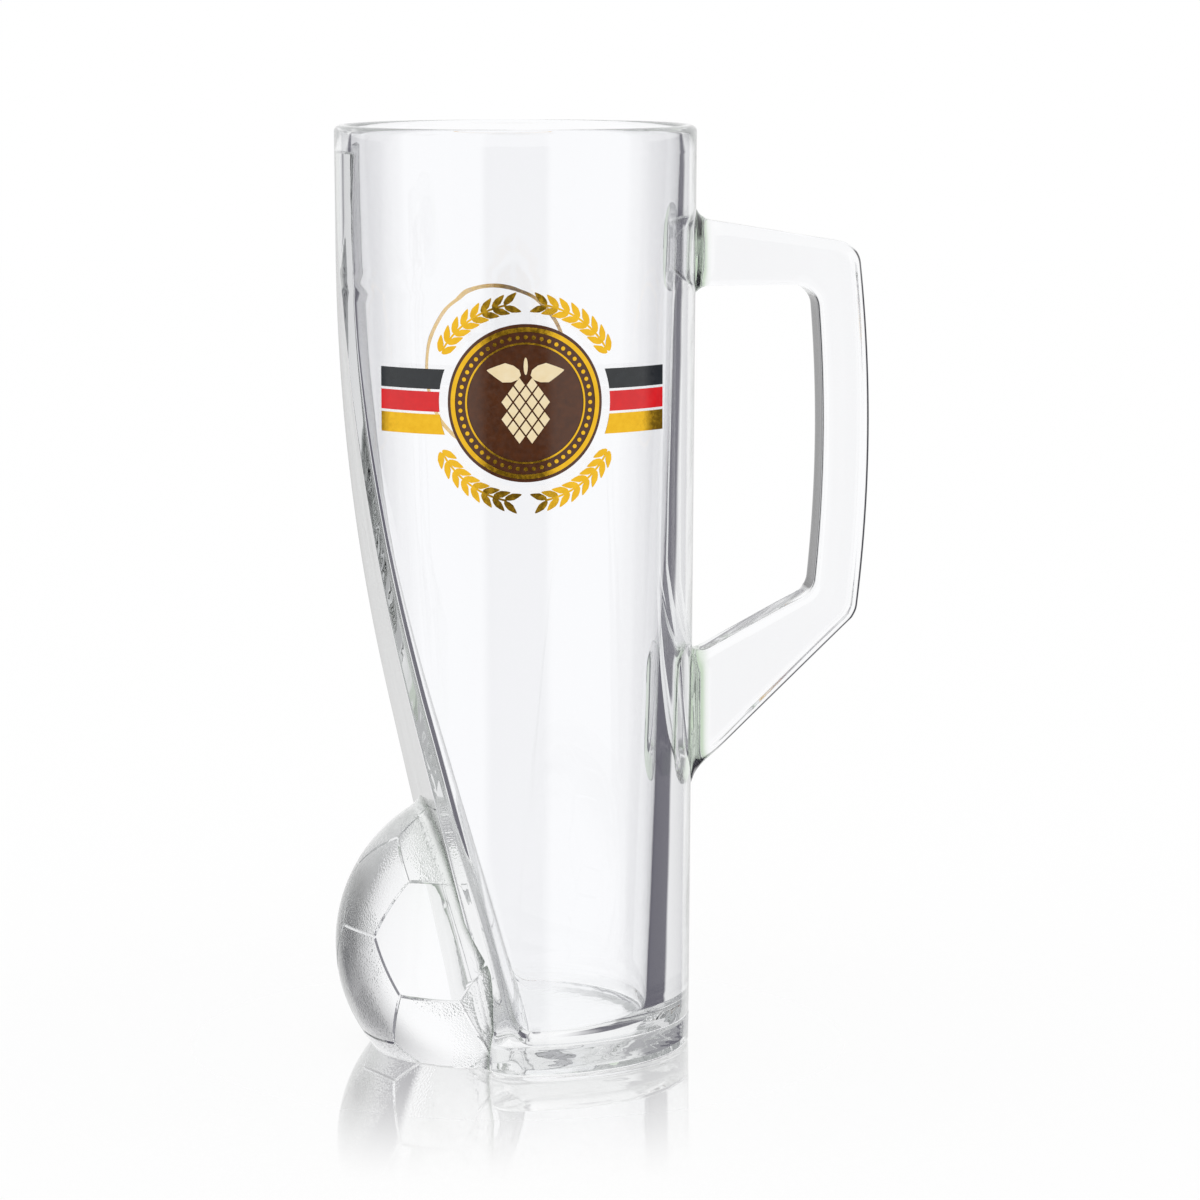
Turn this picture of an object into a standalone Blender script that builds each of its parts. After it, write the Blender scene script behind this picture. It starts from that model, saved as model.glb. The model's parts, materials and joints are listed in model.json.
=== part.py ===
"""A half-litre pressed-glass beer mug with a football moulded into its foot.

The round bowl is swept flat on one side, and a solid half ball grows out of that facet.
The pieces that fuse in the real casting stay separate solids with a hairline between them.
Metres, +Z up. The handle points along +X and the ball along -X.
"""

import math

import bmesh
import bpy
from mathutils import Matrix, Vector

# Hairline between neighbouring pieces
SEAM = 0.0003

# Bowl: outer wall, hollow and floor
MUG_HEIGHT = 0.2076
RIM_RADIUS = 0.04035
WALL_DRAFT = 0.0014
BASE_RADIUS = RIM_RADIUS - WALL_DRAFT
WALL_AT_RIM = 0.00325
WALL_AT_FLOOR = 0.0095
FLOOR_HEIGHT = 0.00615
FLOOR_ROUND = 0.0055
CAVITY_CORNER = 0.0057

# Facet: the flat side, upright at the heel, leaning outwards, then bowed into the wall
FACET_BELOW_RIM = 0.01070
FACET_TOP = MUG_HEIGHT - FACET_BELOW_RIM
FACET_LEAN = math.radians(13.1)
FACET_CUT = 0.02815
FACET_HEEL = BASE_RADIUS - FACET_CUT
HEEL_BEND = 0.0100
FACET_WALL = 0.0050
RIDGE_ROUND = 0.00115
RIDGE_ROUND_AT_FOOT = 0.00665
RIDGE_FLARE_HEIGHT = 0.0522

# Rim band above the mould line
RIM_BAND_HEIGHT = 0.0055
LIP_ROUND = 0.0015

# Foot: a dished heel with a bearing ring round a shallow recess
FOOT_HEIGHT = 0.00695
FOOT_PLATE = 0.00285
FOOT_SEAT_WIDTH = 0.00855
FOOT_EDGE = 0.00115
RECESS_DEPTH = 0.00075
BEARING_WIDTH = 0.00665

# Handle: outline heights, reach and thickness
HANDLE_BELOW_RIM = 0.0208
HANDLE_TOP = MUG_HEIGHT - HANDLE_BELOW_RIM
UPPER_ARM_DEPTH = 0.0152
UPPER_ARM_FALL = 0.00615
HANDLE_REACH = 0.03705
GRIP_WIDTH = 0.01075
GRIP_LENGTH = 0.0840
GRIP_BOW = 0.00265
GRIP_BOTTOM = HANDLE_TOP - UPPER_ARM_FALL - GRIP_LENGTH
FINGER_GAP_LIFT = 0.00535
LOWER_ARM_FALL = 0.0091
LOWER_ARM_DEPTH = 0.0270
HANDLE_THICKNESS = 0.01185
HANDLE_EDGE = 0.0019
HANDLE_CORNER = 0.00475
HANDLE_FLARE = 0.00235

# Football: a ball with sewn-panel seams, flat where it stands on the table
BALL_INSET = 0.0027
BALL_RADIUS = BASE_RADIUS - BALL_INSET
BALL_OFFSET = 0.0052
BALL_SUNK = 0.01345
BALL_HEIGHT = BALL_RADIUS - BALL_SUNK
BALL_TURN = math.radians(-14.0)
PANEL_SEAM_WIDTH = 0.0007
PANEL_SEAM_DEPTH = 0.0005

# Print: a belt of three stripes broken by a round badge, and a ring on the back
PRINT_FILM = 0.0003
PRINT_FRONT = math.radians(-95.0)
PRINT_BACK = math.radians(90.0)
BELT_BELOW_RIM = 0.0585
BELT_MIDDLE = MUG_HEIGHT - BELT_BELOW_RIM
BELT_SWEEP = math.radians(50.0)
STRIPE_HEIGHT = 0.00435
STRIPE_GAP = 0.00055
BADGE_RADIUS = 0.0171
BADGE_MARGIN = 0.0021
BACK_RING_RADIUS = 0.0190
BACK_RING_WIDTH = 0.00095

# Mesh fineness
ARC_STEPS = 26
CORNER_STEPS = 4
FLAT_STEPS = 5
LEVEL_STEP = 0.012
ROUND_STEPS = 5
BEND_STEPS = 7
BOW_STEPS = 12
FILM_STEP = math.radians(3.0)
DISC_STEPS = 40
FADE_ANGLE = math.radians(16.0)


def wall_radius(height):
    """Outer radius of the drafted round wall."""
    return BASE_RADIUS + (RIM_RADIUS - BASE_RADIUS) * height / MUG_HEIGHT


def cavity_radius(height):
    """Inner radius: the wall thickens steadily from the rim to the floor."""
    share = (height - FLOOR_HEIGHT) / (MUG_HEIGHT - FLOOR_HEIGHT)
    return wall_radius(height) - WALL_AT_FLOOR - (WALL_AT_RIM - WALL_AT_FLOOR) * share


def facet_bow_radius():
    """Radius of the bow between the wall and the straight stretch that leans up from the heel."""
    cut = wall_radius(FACET_TOP) - FACET_HEEL
    spare = (FACET_TOP - HEEL_BEND) * math.tan(FACET_LEAN) - cut
    return spare / (1.0 / math.cos(FACET_LEAN) - 1.0)


def facet_distance(height):
    """Distance from the mug's axis to the facet at a height."""
    at_top = wall_radius(FACET_TOP)
    bow = facet_bow_radius()
    below_top = FACET_TOP - height
    if below_top <= 0.0:
        return 2.0 * at_top
    if below_top < bow * math.sin(FACET_LEAN):
        return at_top - bow + math.sqrt(bow ** 2 - below_top ** 2)
    return FACET_HEEL + max(height - HEEL_BEND, 0.0) * math.tan(FACET_LEAN)


def ridge_round(height):
    """Rounding of the ridge between wall and facet, wider towards the foot."""
    share = min(height / RIDGE_FLARE_HEIGHT, 1.0)
    return RIDGE_ROUND_AT_FOOT + (RIDGE_ROUND - RIDGE_ROUND_AT_FOOT) * share


def section(radius, cut, corner):
    """A circle cut flat at x = -cut, its two corners rounded, anticlockwise from +X."""
    reach = radius - corner
    centre_x = corner - cut
    centre_y = math.sqrt(max(reach ** 2 - centre_x ** 2, 0.0))
    faded = cut >= radius or centre_y < radius * math.sin(FADE_ANGLE / 2)
    half = []
    if faded:
        turn = math.pi - FADE_ANGLE
    else:
        turn = math.atan2(centre_y, centre_x)
    for step in range(ARC_STEPS):
        angle = turn * step / ARC_STEPS
        half.append((radius * math.cos(angle), radius * math.sin(angle)))
    for step in range(CORNER_STEPS):
        share = step / CORNER_STEPS
        if faded:
            angle = turn + share * FADE_ANGLE / 2
            half.append((radius * math.cos(angle), radius * math.sin(angle)))
        else:
            angle = turn + share * (math.pi - turn)
            half.append((centre_x + corner * math.cos(angle), centre_y + corner * math.sin(angle)))
    edge = radius * math.sin(FADE_ANGLE / 2) if faded else centre_y
    for step in range(FLAT_STEPS + 1):
        across = edge * (1.0 - step / FLAT_STEPS)
        half.append((-min(cut, math.sqrt(radius ** 2 - across ** 2)), across))
    mirrored = [(x, -y) for x, y in half[-2:0:-1]]
    return half + mirrored


def outer_ring(height, inset=0.0, level=None):
    """Ring of points on the mug's outside at a height, drawn in by an inset."""
    corner = max(ridge_round(height) - inset, RIDGE_ROUND)
    outline = section(wall_radius(height) - inset, facet_distance(height) - inset, corner)
    return [Vector((x, y, height if level is None else level)) for x, y in outline]


def cavity_ring(height, inset=0.0):
    """Ring of points on the hollow's wall, flat behind the facet up to the mould line."""
    corner = max(CAVITY_CORNER - inset, RIDGE_ROUND)
    facet = min(facet_distance(height), wall_radius(FACET_TOP))
    round_only = height > MUG_HEIGHT - RIM_BAND_HEIGHT
    cut = 2.0 * RIM_RADIUS if round_only else facet - FACET_WALL - inset
    outline = section(cavity_radius(height) - inset, cut, corner)
    return [Vector((x, y, height)) for x, y in outline]


def levels(start, end):
    """Even heights from start to end, about one level step apart."""
    count = max(2, round(abs(end - start) / LEVEL_STEP))
    return [start + (end - start) * step / count for step in range(count + 1)]


def wall_levels():
    """Heights of the outer wall's rings, from the foot's seam to the mould line."""
    seam_level = MUG_HEIGHT - RIM_BAND_HEIGHT
    return levels(FOOT_HEIGHT + SEAM, HEEL_BEND) + levels(HEEL_BEND, seam_level)[1:]


def material(name, colour, roughness, metallic=0.0, transmission=0.0):
    """Principled material with the piece's colour, gloss and clearness."""
    made = bpy.data.materials.new(name)
    made.use_nodes = True
    shader = made.node_tree.nodes["Principled BSDF"]
    shader.inputs["Base Color"].default_value = (*colour, 1.0)
    shader.inputs["Roughness"].default_value = roughness
    shader.inputs["Metallic"].default_value = metallic
    shader.inputs["Transmission Weight"].default_value = transmission
    shader.inputs["IOR"].default_value = 1.52
    made.diffuse_color = (*colour, 1.0)
    return made


def place(mesh, name, finish, collection, parent=None):
    """Add a mesh to a collection as a smooth-shaded object."""
    made = bpy.data.objects.new(name, mesh)
    collection.objects.link(made)
    if finish is not None:
        mesh.materials.append(finish)
    mesh.shade_smooth()
    mesh.set_sharp_from_angle(angle=math.radians(35.0))
    made.parent = parent
    return made


def loft(name, rings, closed=False):
    """Skin a run of rings with equal point counts, capped at both ends or joined in a loop."""
    mesh = bpy.data.meshes.new(name)
    shape = bmesh.new()
    rows = [[shape.verts.new(point) for point in ring] for ring in rings]
    pairs = list(zip(rows, rows[1:]))
    if closed:
        pairs.append((rows[-1], rows[0]))
    else:
        shape.faces.new(reversed(rows[0]))
        shape.faces.new(rows[-1])
    size = len(rows[0])
    for low, high in pairs:
        for step in range(size):
            after = (step + 1) % size
            shape.faces.new((low[step], low[after], high[after], high[step]))
    bmesh.ops.recalc_face_normals(shape, faces=shape.faces)
    shape.to_mesh(mesh)
    shape.free()
    return mesh


def cut_by(target, cutter, operation="DIFFERENCE"):
    """Boolean modifier on a piece, with the cutter hidden from renders."""
    modifier = target.modifiers.new(operation.title(), "BOOLEAN")
    modifier.operation = operation
    modifier.solver = "EXACT"
    modifier.object = cutter
    cutter.hide_render = True
    cutter.display_type = "WIRE"


def make_bowl():
    """Vessel wall from the foot's seat to the mould line, with its hollow."""
    rings = [outer_ring(FOOT_HEIGHT + SEAM, FOOT_SEAT_WIDTH, FOOT_PLATE + SEAM)]
    rings += [outer_ring(height) for height in wall_levels()]
    round_start = FLOOR_HEIGHT + FLOOR_ROUND
    inner_levels = [round_start] + [height for height in wall_levels() if height > round_start]
    rings += [cavity_ring(height) for height in reversed(inner_levels)]
    for step in range(1, ROUND_STEPS + 1):
        angle = math.pi / 2 * step / ROUND_STEPS
        height = FLOOR_HEIGHT + FLOOR_ROUND * (1.0 - math.sin(angle))
        rings.append(cavity_ring(height, FLOOR_ROUND * (1.0 - math.cos(angle))))
    return loft("bowl", rings)


def make_rim_band():
    """Closed ring above the mould line, with a fire-polished lip."""
    low = MUG_HEIGHT - RIM_BAND_HEIGHT + SEAM
    lip_level = MUG_HEIGHT - LIP_ROUND
    rings = [outer_ring(low), outer_ring(lip_level)]
    for step in range(1, ROUND_STEPS + 1):
        angle = math.pi / 2 * step / ROUND_STEPS
        height = lip_level + LIP_ROUND * math.sin(angle)
        rings.append(outer_ring(height, LIP_ROUND * (1.0 - math.cos(angle))))
    for step in range(ROUND_STEPS, 0, -1):
        angle = math.pi / 2 * step / ROUND_STEPS
        height = lip_level + LIP_ROUND * math.sin(angle)
        rings.append(cavity_ring(height, -LIP_ROUND * (1.0 - math.cos(angle))))
    rings += [cavity_ring(lip_level), cavity_ring(low)]
    return loft("rim_band", rings, closed=True)


def make_foot():
    """Heel with a recessed underside, dished on top for the bowl's seat."""
    rings = [
        outer_ring(0.0, BEARING_WIDTH + RECESS_DEPTH, RECESS_DEPTH),
        outer_ring(0.0, BEARING_WIDTH),
        outer_ring(0.0, FOOT_EDGE),
    ]
    for step in range(1, ROUND_STEPS + 1):
        angle = math.pi / 2 * step / ROUND_STEPS
        inset = FOOT_EDGE * (1.0 - math.sin(angle))
        rings.append(outer_ring(FOOT_EDGE * (1.0 - math.cos(angle)), inset))
    rings.append(outer_ring(FOOT_HEIGHT))
    rings.append(outer_ring(FOOT_HEIGHT, FOOT_SEAT_WIDTH, FOOT_PLATE))
    return loft("foot", rings)


def rounded_outline(corners):
    """Points of a polygon whose corners (point, radius) are replaced by tangent arcs."""
    points = []
    count = len(corners)
    for index, (corner, radius) in enumerate(corners):
        before = corners[index - 1][0]
        after = corners[(index + 1) % count][0]
        if radius == 0.0:
            points.append(corner)
            continue
        to_before = (before - corner).normalized()
        to_after = (after - corner).normalized()
        half_angle = to_before.angle(to_after) / 2
        distance = radius / math.tan(half_angle)
        centre = corner + (to_before + to_after).normalized() * radius / math.sin(half_angle)
        start = corner + to_before * distance - centre
        end = corner + to_after * distance - centre
        sweep = start.angle_signed(end)
        for step in range(BEND_STEPS + 1):
            turned = Matrix.Rotation(-sweep * step / BEND_STEPS, 2) @ start
            points.append(centre + turned)
    return points


def bowed(points, low, high, bow):
    """Push the points of an upright edge outwards in an arc between two heights."""
    middle = (low + high) / 2
    half = (high - low) / 2
    result = []
    for point in points:
        share = (point.y - middle) / half
        lift = bow * max(0.0, 1.0 - share ** 2)
        result.append(Vector((point.x + lift, point.y)))
    return result


def upright_run(top, bottom):
    """Points inside a straight edge between two corners, ends left out."""
    return [(top.lerp(bottom, step / BOW_STEPS), 0.0) for step in range(1, BOW_STEPS)]


def handle_outline():
    """Outline of the handle in the XZ plane: arms, grip and the flares at the wall."""
    arm_top = GRIP_BOTTOM - LOWER_ARM_FALL
    arm_bottom = arm_top - LOWER_ARM_DEPTH
    top_wall = wall_radius(HANDLE_TOP)
    low_wall = wall_radius(arm_bottom)
    outer_x = top_wall + HANDLE_REACH
    inner_x = outer_x - GRIP_WIDTH
    gap_top = HANDLE_TOP - UPPER_ARM_DEPTH
    root_x = cavity_radius(arm_bottom)
    outer_high = Vector((outer_x, HANDLE_TOP - UPPER_ARM_FALL))
    outer_low = Vector((outer_x, GRIP_BOTTOM))
    inner_low = Vector((inner_x, GRIP_BOTTOM + FINGER_GAP_LIFT))
    inner_high = Vector((inner_x, gap_top))
    flare = HANDLE_FLARE

    def on_line(start, end, x):
        """Point of the line from start to end at a given x."""
        share = (x - start.x) / (end.x - start.x)
        return start.lerp(end, share)

    top_start = Vector((top_wall, HANDLE_TOP))
    low_start = Vector((low_wall, arm_bottom))
    gap_start = Vector((low_wall, arm_top))
    upper_arm = [
        (Vector((root_x, HANDLE_TOP + flare)), 0.0),
        (Vector((top_wall + SEAM, HANDLE_TOP + flare)), 0.0),
        (on_line(top_start, outer_high, top_wall + 2 * flare), 2 * flare),
        (outer_high, HANDLE_CORNER),
    ]
    lower_arm = [
        (outer_low, HANDLE_CORNER),
        (on_line(low_start, outer_low, low_wall + 2 * flare), 2 * flare),
        (Vector((low_wall + SEAM, arm_bottom - flare)), 0.0),
        (Vector((root_x, arm_bottom - flare)), 0.0),
        (Vector((root_x, arm_top + flare)), 0.0),
        (Vector((low_wall + SEAM, arm_top + flare)), 0.0),
        (on_line(gap_start, inner_low, low_wall + 2 * flare), 2 * flare),
    ]
    finger_gap = [
        (inner_low, HANDLE_CORNER),
        *upright_run(inner_low, inner_high),
        (inner_high, HANDLE_CORNER),
        (Vector((top_wall + 2 * flare, gap_top)), 2 * flare),
        (Vector((top_wall + SEAM, gap_top - flare)), 0.0),
        (Vector((root_x, gap_top - flare)), 0.0),
    ]
    grip = upright_run(outer_high, outer_low)
    return upper_arm, grip, lower_arm, finger_gap, (outer_low.y, outer_high.y)


def make_handle(parts, cutters, finish, parent):
    """Handle plate with rounded edges, its arms cut to the round wall."""
    upper_arm, grip, lower_arm, finger_gap, (low, high) = handle_outline()
    points = rounded_outline(upper_arm + grip + lower_arm + finger_gap)
    bow_from = wall_radius(HANDLE_TOP) + HANDLE_REACH - GRIP_WIDTH - HANDLE_CORNER
    shaped = [bowed([p], low, high, GRIP_BOW)[0] if p.x > bow_from else p for p in points]
    curve = bpy.data.curves.new("handle_outline", "CURVE")
    curve.dimensions = "2D"
    curve.fill_mode = "BOTH"
    curve.extrude = HANDLE_THICKNESS / 2 - HANDLE_EDGE
    curve.bevel_depth = HANDLE_EDGE
    curve.bevel_resolution = 2
    curve.offset = -HANDLE_EDGE
    spline = curve.splines.new("POLY")
    spline.points.add(len(shaped) - 1)
    for target, point in zip(spline.points, shaped):
        target.co = (point.x, point.y, 0.0, 1.0)
    spline.use_cyclic_u = True
    guide = bpy.data.objects.new("handle_guide", curve)
    cutters.objects.link(guide)
    evaluated = guide.evaluated_get(bpy.context.evaluated_depsgraph_get())
    mesh = bpy.data.meshes.new_from_object(evaluated)
    bpy.data.objects.remove(guide)
    shape = bmesh.new()
    shape.from_mesh(mesh)
    bmesh.ops.remove_doubles(shape, verts=shape.verts, dist=SEAM / 10)
    bmesh.ops.rotate(shape, verts=shape.verts, matrix=Matrix.Rotation(math.pi / 2, 3, "X"))
    bmesh.ops.recalc_face_normals(shape, faces=shape.faces)
    shape.to_mesh(mesh)
    shape.free()
    handle = place(mesh, "handle", finish, parts, parent)
    rings = [outer_ring(height, -SEAM) for height in wall_levels()]
    wall = place(loft("wall_cutter", rings), "wall_cutter", None, cutters, parent)
    cut_by(handle, wall)


def make_football(parts, cutters, finish, parent):
    """Ball of pentagon and hexagon panels, cut by the mug's flat side and by the table."""
    mesh = bpy.data.meshes.new("football")
    shape = bmesh.new()
    in_seam = shape.verts.layers.float.new("in_seam")
    bmesh.ops.create_icosphere(shape, subdivisions=1, radius=BALL_RADIUS)
    edge_length = shape.edges[:][0].calc_length()
    bmesh.ops.bevel(
        shape, geom=shape.verts[:], offset=edge_length / 3, offset_type="OFFSET",
        segments=1, profile=0.5, affect="VERTICES",
    )
    seam_points = shape.verts[:]
    panels = shape.faces[:]
    bmesh.ops.inset_individual(shape, faces=panels, thickness=PANEL_SEAM_WIDTH, use_even_offset=True)
    bmesh.ops.poke(shape, faces=panels)
    for vert in seam_points:
        vert[in_seam] = 1.0
    bmesh.ops.subdivide_edges(shape, edges=shape.edges[:], cuts=2, use_grid_fill=True)
    for vert in shape.verts:
        vert.co = vert.co.normalized() * (BALL_RADIUS - PANEL_SEAM_DEPTH * vert[in_seam])
    bmesh.ops.rotate(shape, verts=shape.verts, matrix=Matrix.Rotation(BALL_TURN, 3, "Z"))
    bmesh.ops.translate(shape, verts=shape.verts, vec=(-BALL_OFFSET, 0.0, BALL_HEIGHT))
    shape.to_mesh(mesh)
    shape.free()
    ball = place(mesh, "football", finish, parts, parent)
    heights = [-BALL_RADIUS, 0.0, FOOT_EDGE, FOOT_HEIGHT] + wall_levels()
    rings = [outer_ring(max(height, 0.0), -SEAM, height) for height in heights]
    side = place(loft("side_cutter", rings), "side_cutter", None, cutters, parent)
    cut_by(ball, side)
    table_mesh = bpy.data.meshes.new("table_cutter")
    slab = bmesh.new()
    bmesh.ops.create_cube(slab, size=1.0)
    bmesh.ops.scale(slab, verts=slab.verts, vec=(4 * BALL_RADIUS, 4 * BALL_RADIUS, 2 * BALL_RADIUS))
    bmesh.ops.translate(slab, verts=slab.verts, vec=(0.0, 0.0, -BALL_RADIUS))
    slab.to_mesh(table_mesh)
    slab.free()
    table = place(table_mesh, "table_cutter", None, cutters, parent)
    cut_by(ball, table)


def film(name, low, high, start, end):
    """Thin printed film on the round wall between two heights and two angles."""
    count = max(2, round((end - start) / FILM_STEP))
    rings = []
    for step in range(count + 1):
        angle = start + (end - start) * step / count
        ring = []
        for height, lift in ((low, 0.0), (low, PRINT_FILM), (high, PRINT_FILM), (high, 0.0)):
            radius = wall_radius(height) + SEAM + lift
            ring.append(Vector((radius * math.cos(angle), radius * math.sin(angle), height)))
        rings.append(ring)
    return loft(name, rings)


def make_stripes(parts, finishes, parent):
    """Three stripes either side of the badge."""
    badge_half = math.asin((BADGE_RADIUS + BADGE_MARGIN) / wall_radius(BELT_MIDDLE))
    pitch = STRIPE_HEIGHT + STRIPE_GAP
    for order, colour in enumerate(("black", "red", "gold")):
        middle = BELT_MIDDLE + (1 - order) * pitch
        low = middle - STRIPE_HEIGHT / 2
        high = middle + STRIPE_HEIGHT / 2
        for side, name in ((-1, "left"), (1, "right")):
            near = PRINT_FRONT + side * badge_half
            far = PRINT_FRONT + side * BELT_SWEEP
            stripe = f"{colour}_stripe_{name}"
            place(film(stripe, low, high, min(near, far), max(near, far)), stripe,
                  finishes[colour], parts, parent)


def disc_cutter(name, radius, depth, direction, cutters, parent):
    """Cylinder that punches a round print out of the film, seen along a direction."""
    mesh = bpy.data.meshes.new(name)
    shape = bmesh.new()
    bmesh.ops.create_cone(shape, cap_ends=True, segments=DISC_STEPS, radius1=radius,
                          radius2=radius, depth=depth)
    turn = Matrix.Rotation(direction, 3, "Z") @ Matrix.Rotation(math.pi / 2, 3, "Y")
    bmesh.ops.rotate(shape, verts=shape.verts, matrix=turn)
    outward = Vector((math.cos(direction), math.sin(direction), 0.0))
    bmesh.ops.translate(shape, verts=shape.verts,
                        vec=outward * depth / 2 + Vector((0.0, 0.0, BELT_MIDDLE)))
    shape.to_mesh(mesh)
    shape.free()
    return place(mesh, name, None, cutters, parent)


def make_round_print(name, radius, hole, direction, parts, cutters, finish, parent):
    """Round film on the wall, with a hole if it is a ring."""
    spread = math.asin(radius / wall_radius(BELT_MIDDLE)) + FILM_STEP
    margin = STRIPE_HEIGHT
    mesh = film(name, BELT_MIDDLE - radius - margin, BELT_MIDDLE + radius + margin,
                direction - spread, direction + spread)
    piece = place(mesh, name, finish, parts, parent)
    depth = 2 * RIM_RADIUS
    cut_by(piece, disc_cutter(f"{name}_outline", radius, depth, direction, cutters, parent), "INTERSECT")
    if hole > 0.0:
        cut_by(piece, disc_cutter(f"{name}_hole", hole, depth, direction, cutters, parent))


def main():
    """Build the mug, its axis set so that the origin is under the middle of its box."""
    for leftover in list(bpy.data.objects):
        bpy.data.objects.remove(leftover)
    parts = bpy.data.collections.new("Beer mug")
    cutters = bpy.data.collections.new("Cutters")
    bpy.context.scene.collection.children.link(parts)
    bpy.context.scene.collection.children.link(cutters)

    handle_end = wall_radius(HANDLE_TOP) + HANDLE_REACH + GRIP_BOW
    ball_end = BALL_OFFSET + BALL_RADIUS
    axis = bpy.data.objects.new("mug_axis", None)
    axis.location = ((ball_end - handle_end) / 2, 0.0, 0.0)
    parts.objects.link(axis)

    glass = material("Clear pressed glass", (0.93, 0.97, 0.95), 0.02, transmission=1.0)
    finishes = {
        "black": material("Black enamel", (0.02, 0.02, 0.02), 0.3),
        "red": material("Red enamel", (0.80, 0.02, 0.02), 0.3),
        "gold": material("Gold lustre", (0.95, 0.62, 0.10), 0.25, metallic=1.0),
        "brown": material("Brown enamel", (0.14, 0.06, 0.02), 0.3),
    }
    place(make_bowl(), "bowl", glass, parts, axis)
    place(make_rim_band(), "rim_band", glass, parts, axis)
    place(make_foot(), "foot", glass, parts, axis)
    make_handle(parts, cutters, glass, axis)
    make_football(parts, cutters, glass, axis)
    make_stripes(parts, finishes, axis)
    make_round_print("badge_print", BADGE_RADIUS, 0.0, PRINT_FRONT, parts, cutters, finishes["brown"], axis)
    make_round_print("back_ring_print", BACK_RING_RADIUS, BACK_RING_RADIUS - BACK_RING_WIDTH, PRINT_BACK,
                     parts, cutters, finishes["gold"], axis)


main()
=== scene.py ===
"""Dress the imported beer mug: clear pressed glass, a solid half football, a fired print.

Every piece is made round the mug's own axis and then moved to the frame's place of it.
Glass pieces that are one casting meet at clear joint faces, so light passes as in one body.
"""

import json
import math

import bmesh
import bpy
from mathutils import Matrix, Vector
from mathutils.kdtree import KDTree

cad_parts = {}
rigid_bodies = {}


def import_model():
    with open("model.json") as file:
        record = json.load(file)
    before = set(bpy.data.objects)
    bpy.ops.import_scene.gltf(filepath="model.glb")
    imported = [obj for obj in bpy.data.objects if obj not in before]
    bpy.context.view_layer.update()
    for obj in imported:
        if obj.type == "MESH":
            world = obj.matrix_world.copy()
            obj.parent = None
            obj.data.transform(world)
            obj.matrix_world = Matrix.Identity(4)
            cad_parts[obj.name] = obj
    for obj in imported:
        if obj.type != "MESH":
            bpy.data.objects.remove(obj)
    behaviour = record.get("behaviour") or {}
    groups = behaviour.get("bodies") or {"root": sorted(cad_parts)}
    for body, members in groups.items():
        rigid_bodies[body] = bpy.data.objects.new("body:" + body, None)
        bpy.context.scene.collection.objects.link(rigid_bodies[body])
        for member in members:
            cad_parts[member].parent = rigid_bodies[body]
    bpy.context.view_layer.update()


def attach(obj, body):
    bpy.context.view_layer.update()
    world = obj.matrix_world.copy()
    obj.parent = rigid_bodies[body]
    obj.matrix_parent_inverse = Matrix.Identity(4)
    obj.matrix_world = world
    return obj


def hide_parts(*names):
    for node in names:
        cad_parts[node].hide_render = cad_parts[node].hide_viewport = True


for leftover in list(bpy.data.objects):
    bpy.data.objects.remove(leftover)
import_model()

# Bowl, as in the part: outer wall, hollow and floor
MUG_HEIGHT = 0.2076
RIM_RADIUS = 0.04035
WALL_DRAFT = 0.0014
BASE_RADIUS = RIM_RADIUS - WALL_DRAFT
WALL_AT_RIM = 0.00325
WALL_AT_FLOOR = 0.0095
FLOOR_HEIGHT = 0.00615
FLOOR_ROUND = 0.0055
CAVITY_CORNER = 0.0057

# Facet: the flat side, upright at the heel, leaning outwards, then bowed into the wall
FACET_BELOW_RIM = 0.01070
FACET_TOP = MUG_HEIGHT - FACET_BELOW_RIM
FACET_LEAN = math.radians(13.1)
FACET_CUT = 0.02815
FACET_HEEL = BASE_RADIUS - FACET_CUT
HEEL_BEND = 0.0100
FACET_WALL = 0.0050
RIDGE_ROUND = 0.00115
RIDGE_ROUND_AT_FOOT = 0.00665
RIDGE_FLARE_HEIGHT = 0.0522
NO_FACET = 2 * RIM_RADIUS

# Lip above the mould line, and heel below its own
RIM_BAND_HEIGHT = 0.0055
LIP_ROUND = 0.0015
FOOT_HEIGHT = 0.00695
FOOT_PLATE = 0.00285
FOOT_SEAT_WIDTH = 0.00855
FOOT_EDGE = 0.00115
RECESS_DEPTH = 0.00075
BEARING_WIDTH = 0.00665
MOULD_LINE = 0.00006
MOULD_GROOVE = 2 * MOULD_LINE
LEDGE_ROUND = 0.0006

# Handle
HANDLE_BELOW_RIM = 0.0208
HANDLE_TOP = MUG_HEIGHT - HANDLE_BELOW_RIM
UPPER_ARM_DEPTH = 0.0152
UPPER_ARM_FALL = 0.00615
HANDLE_REACH = 0.03705
GRIP_WIDTH = 0.01075
GRIP_LENGTH = 0.0840
GRIP_BOW = 0.00265
GRIP_BOTTOM = HANDLE_TOP - UPPER_ARM_FALL - GRIP_LENGTH
FINGER_GAP_LIFT = 0.00535
LOWER_ARM_FALL = 0.0091
LOWER_ARM_DEPTH = 0.0270
HANDLE_THICKNESS = 0.01185
HANDLE_EDGE = 0.0019
HANDLE_CORNER = 0.00475
HANDLE_FILLET = 0.0040
ROOT_EDGE = 0.0050
ROOT_REACH = 0.0060
HANDLE_ROOT = 0.0020

# Football
BALL_INSET = 0.0027
BALL_RADIUS = BASE_RADIUS - BALL_INSET
BALL_OFFSET = 0.0052
BALL_SUNK = 0.01345
BALL_HEIGHT = BALL_RADIUS - BALL_SUNK
BALL_TURN = math.radians(-14.0)
BALL_FILLET = 0.0030
PANELS_PER_EDGE = 3
PANEL_SEAM_WIDTH = 0.00035
PANEL_SEAM_DEPTH = 0.00035
PANEL_CUTS = 24
BELOW_TABLE = -2 * BALL_SUNK
CUTTER_REACH = 4 * RIM_RADIUS

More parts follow.
